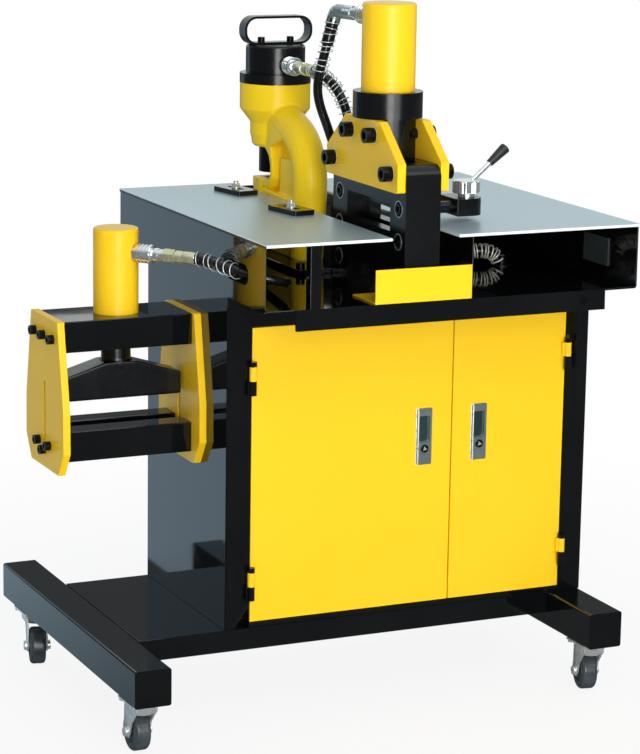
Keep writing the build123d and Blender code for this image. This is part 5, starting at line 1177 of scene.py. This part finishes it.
def make_latch_well(side):
    """Bottom of a latch's finger recess, in darker plating painted as shade."""
    low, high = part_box(side + "_latch")
    middle = (low.x + high.x) / 2
    centre = (low.z + high.z) / 2 + WELL_RISE
    outline = rectangle(
        middle - WELL_HALF, centre - WELL_HEIGHT / 2, middle + WELL_HALF, centre + WELL_HEIGHT / 2
    )
    floor = low.y + WELL_DEPTH
    add_plate(
        side + "_latch_well", outline, floor - WELL_HALF_SHEET, floor + WELL_HALF_SHEET,
        lambda x, z, y: Vector((x, y, z)), frame["nodes"][side + "_latch"]["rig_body"], "zinc", "latch_well_painted_shade",
    )


# Floor, and the white backdrop and cool side card that only gloss paint and metal mirror
WHITE = (1, 1, 1, 1)
FLOOR_REACH = 30.0
FLOOR_SHADE = (0.8, 0.8, 0.8, 1)
FLOOR_WHITE_SHARE = (0.88, 1.0)
FLOOR_FADE = (0.6, 1.8)
BACKDROP_SHADE = (0.93, 1.0, 0.98, 1)
BACKDROP_DISTANCE = 1.6
BACKDROP_LOW = 0.98
BACKDROP_TOP = 2.4
BACKDROP_RIGHT = 4.0
SIDE_CARD_SHADE = (0.52, 0.7, 0.84, 1)
SIDE_CARD_LEFT = -1.0
SIDE_CARD_RIGHT = -0.42
SIDE_CARD_NEAR = -0.5
CARD_GLOW = (0.12, 1.0)
CARD_GLOW_FULL = 0.8


def flat_card(name, corners, material):
    mesh = bpy.data.meshes.new(name)
    mesh.from_pydata(corners, [], [(0, 1, 2, 3)])
    mesh.materials.append(material)
    card = new_object(name, mesh)
    return card


def floor_finish():
    """Pale floor that keeps the machine's shadow and fades to white away from it."""
    finish = Finish("floor", Roughness=0.8, Base_Color=FLOOR_SHADE)
    reach = finish.node("VectorMath", {0: finish.place()}, operation="LENGTH").outputs["Value"]
    share = finish.spread(reach, *FLOOR_WHITE_SHARE, *FLOOR_FADE)
    seen = finish.node("LightPath").outputs["Is Camera Ray"]
    factor = finish.node("Math", {0: share, 1: seen}, operation="MULTIPLY").outputs["Value"]
    white = finish.node("Emission", {"Color": WHITE, "Strength": 1.0})
    mix = finish.node("MixShader", {
        "Fac": factor, 1: finish.shader.outputs["BSDF"], 2: white.outputs["Emission"],
    })
    finish.tree.links.new(mix.outputs["Shader"], finish.tree.nodes["Material Output"].inputs["Surface"])
    return finish.material


def card_finish(name, shade):
    """A glowing card that dims towards the front."""
    finish = Finish(name, Base_Color=(0, 0, 0, 1), Emission_Color=shade)
    depth = finish.node("SeparateXYZ", {"Vector": finish.place()}).outputs["Y"]
    glow = finish.spread(depth, *CARD_GLOW, SIDE_CARD_NEAR, CARD_GLOW_FULL)
    finish.feed(glow, "Emission Strength")
    return finish.material


def level_card(name, left, near, right, far, material):
    corners = [(x, y, 0) for x, y in rectangle(left, near, right, far)]
    return flat_card(name, corners, material)


def upright_card(name, left, right, low, material):
    corners = [(x, BACKDROP_DISTANCE, z) for x, z in rectangle(left, low, right, BACKDROP_TOP)]
    return flat_card(name, corners, material)


def make_stage():
    """Floor, and the cards behind and beside the machine as its gloss paint and steel mirror them."""
    floor = level_card("floor", -FLOOR_REACH, -FLOOR_REACH, FLOOR_REACH, FLOOR_REACH, floor_finish())
    floor.visible_glossy = False
    white = card_finish("backdrop", BACKDROP_SHADE)
    cool = card_finish("side_card", SIDE_CARD_SHADE)
    left, right = SIDE_CARD_LEFT, SIDE_CARD_RIGHT
    for card in (
        upright_card("backdrop", right, BACKDROP_RIGHT, BACKDROP_LOW, white),
        upright_card("side_card", left, right, 0.0, cool),
        level_card("side_card_foot", left, SIDE_CARD_NEAR, right, BACKDROP_DISTANCE, cool),
    ):
        card.visible_camera = False
        card.visible_diffuse = False
        card.visible_shadow = False


# The room's light from front to back, and what gloss mirrors of it from low to high
ROOM_SHADE = (0.88, 0.96, 1.0, 1)
ROOM_LIGHT = {"From Min": -0.6, "From Max": 0.1, "To Min": 0.15, "To Max": 0.68}
CEILING_LIGHT = {"From Min": 0.3, "From Max": 0.8, "To Min": 0.14, "To Max": 0.9}

# Lamps: name, place, width and height, power in watts, and the point they face
LAMPS = (
    ("strip", (-0.86, -3.25, 1.1), (1.1, 2.0), 64, (0.1, 0, 1.1)),
    ("front", (0.3, -2.6, 2.9), (2.5, 1.5), 32, (0, 0, 0.6)),
    ("low", (0.25, -3.2, 0.8), (1.2, 0.9), 14, (0.2, 0, 0.7)),
)


def background(tree, shade):
    node = tree.nodes.new("ShaderNodeBackground")
    node.inputs["Color"].default_value = shade
    return node


def graded(tree, socket, limits, change):
    """A background whose strength follows a socket between limits."""
    grade = tree.nodes.new("ShaderNodeMapRange")
    grade.interpolation_type = change
    for name, value in limits.items():
        grade.inputs[name].default_value = value
    tree.links.new(socket, grade.inputs["Value"])
    light = background(tree, ROOM_SHADE)
    tree.links.new(grade.outputs["Result"], light.inputs["Strength"])
    return light


def chosen(tree, socket, first, second):
    """The second of two shaders where a socket is 1, else the first."""
    mix = tree.nodes.new("ShaderNodeMixShader")
    tree.links.new(socket, mix.inputs["Fac"])
    tree.links.new(first.outputs[0], mix.inputs[1])
    tree.links.new(second.outputs[0], mix.inputs[2])
    return mix


def make_world():
    """White for the camera; for light and reflections, a room that is bright behind and dark in front."""
    world = bpy.data.worlds.new("studio")
    bpy.context.scene.world = world
    world.use_nodes = True
    tree = world.node_tree
    tree.nodes.remove(tree.nodes["Background"])
    place = tree.nodes.new("ShaderNodeTexCoord")
    parts = tree.nodes.new("ShaderNodeSeparateXYZ")
    tree.links.new(place.outputs["Generated"], parts.inputs["Vector"])
    path = tree.nodes.new("ShaderNodeLightPath")
    room = graded(tree, parts.outputs["Y"], ROOM_LIGHT, "SMOOTHSTEP")
    mirrored = graded(tree, parts.outputs["Z"], CEILING_LIGHT, "LINEAR")
    unseen = chosen(tree, path.outputs["Is Glossy Ray"], room, mirrored)
    seen = chosen(tree, path.outputs["Is Camera Ray"], unseen, background(tree, WHITE))
    tree.links.new(seen.outputs[0], tree.nodes["World Output"].inputs["Surface"])


def softbox(name, place, size, power, aim):
    data = bpy.data.lights.new(name, "AREA")
    data.shape = "RECTANGLE"
    data.size, data.size_y = size
    data.energy = power
    lamp = new_object(name, data)
    lamp.location = place
    way = Vector(aim) - Vector(place)
    lamp.rotation_euler = way.to_track_quat("-Z", "Y").to_euler()


bpy.context.scene.view_settings.view_transform = "Standard"
place_camera()
paint_nodes()
make_hoses()
for spring, (joint, stroke) in SPRINGS.items():
    make_spring(spring)
make_fittings()
make_casting()
make_foot_plate()
make_press_block()
make_press_pins()
for caster in CASTERS:
    make_fork(caster)
make_screw_rings()
make_shear_cap()
make_cover_plate()
make_shadow_strip()
make_nut_shell()
for latch_side in KEY_PLACES:
    make_latch_rim(latch_side)
    make_key_pin(latch_side)
    make_latch_well(latch_side)
for node_name, bevel_width in BEVELS.items():
    bevelled(node_name, bevel_width)
make_stage()
make_world()
for lamp_values in LAMPS:
    softbox(*lamp_values)
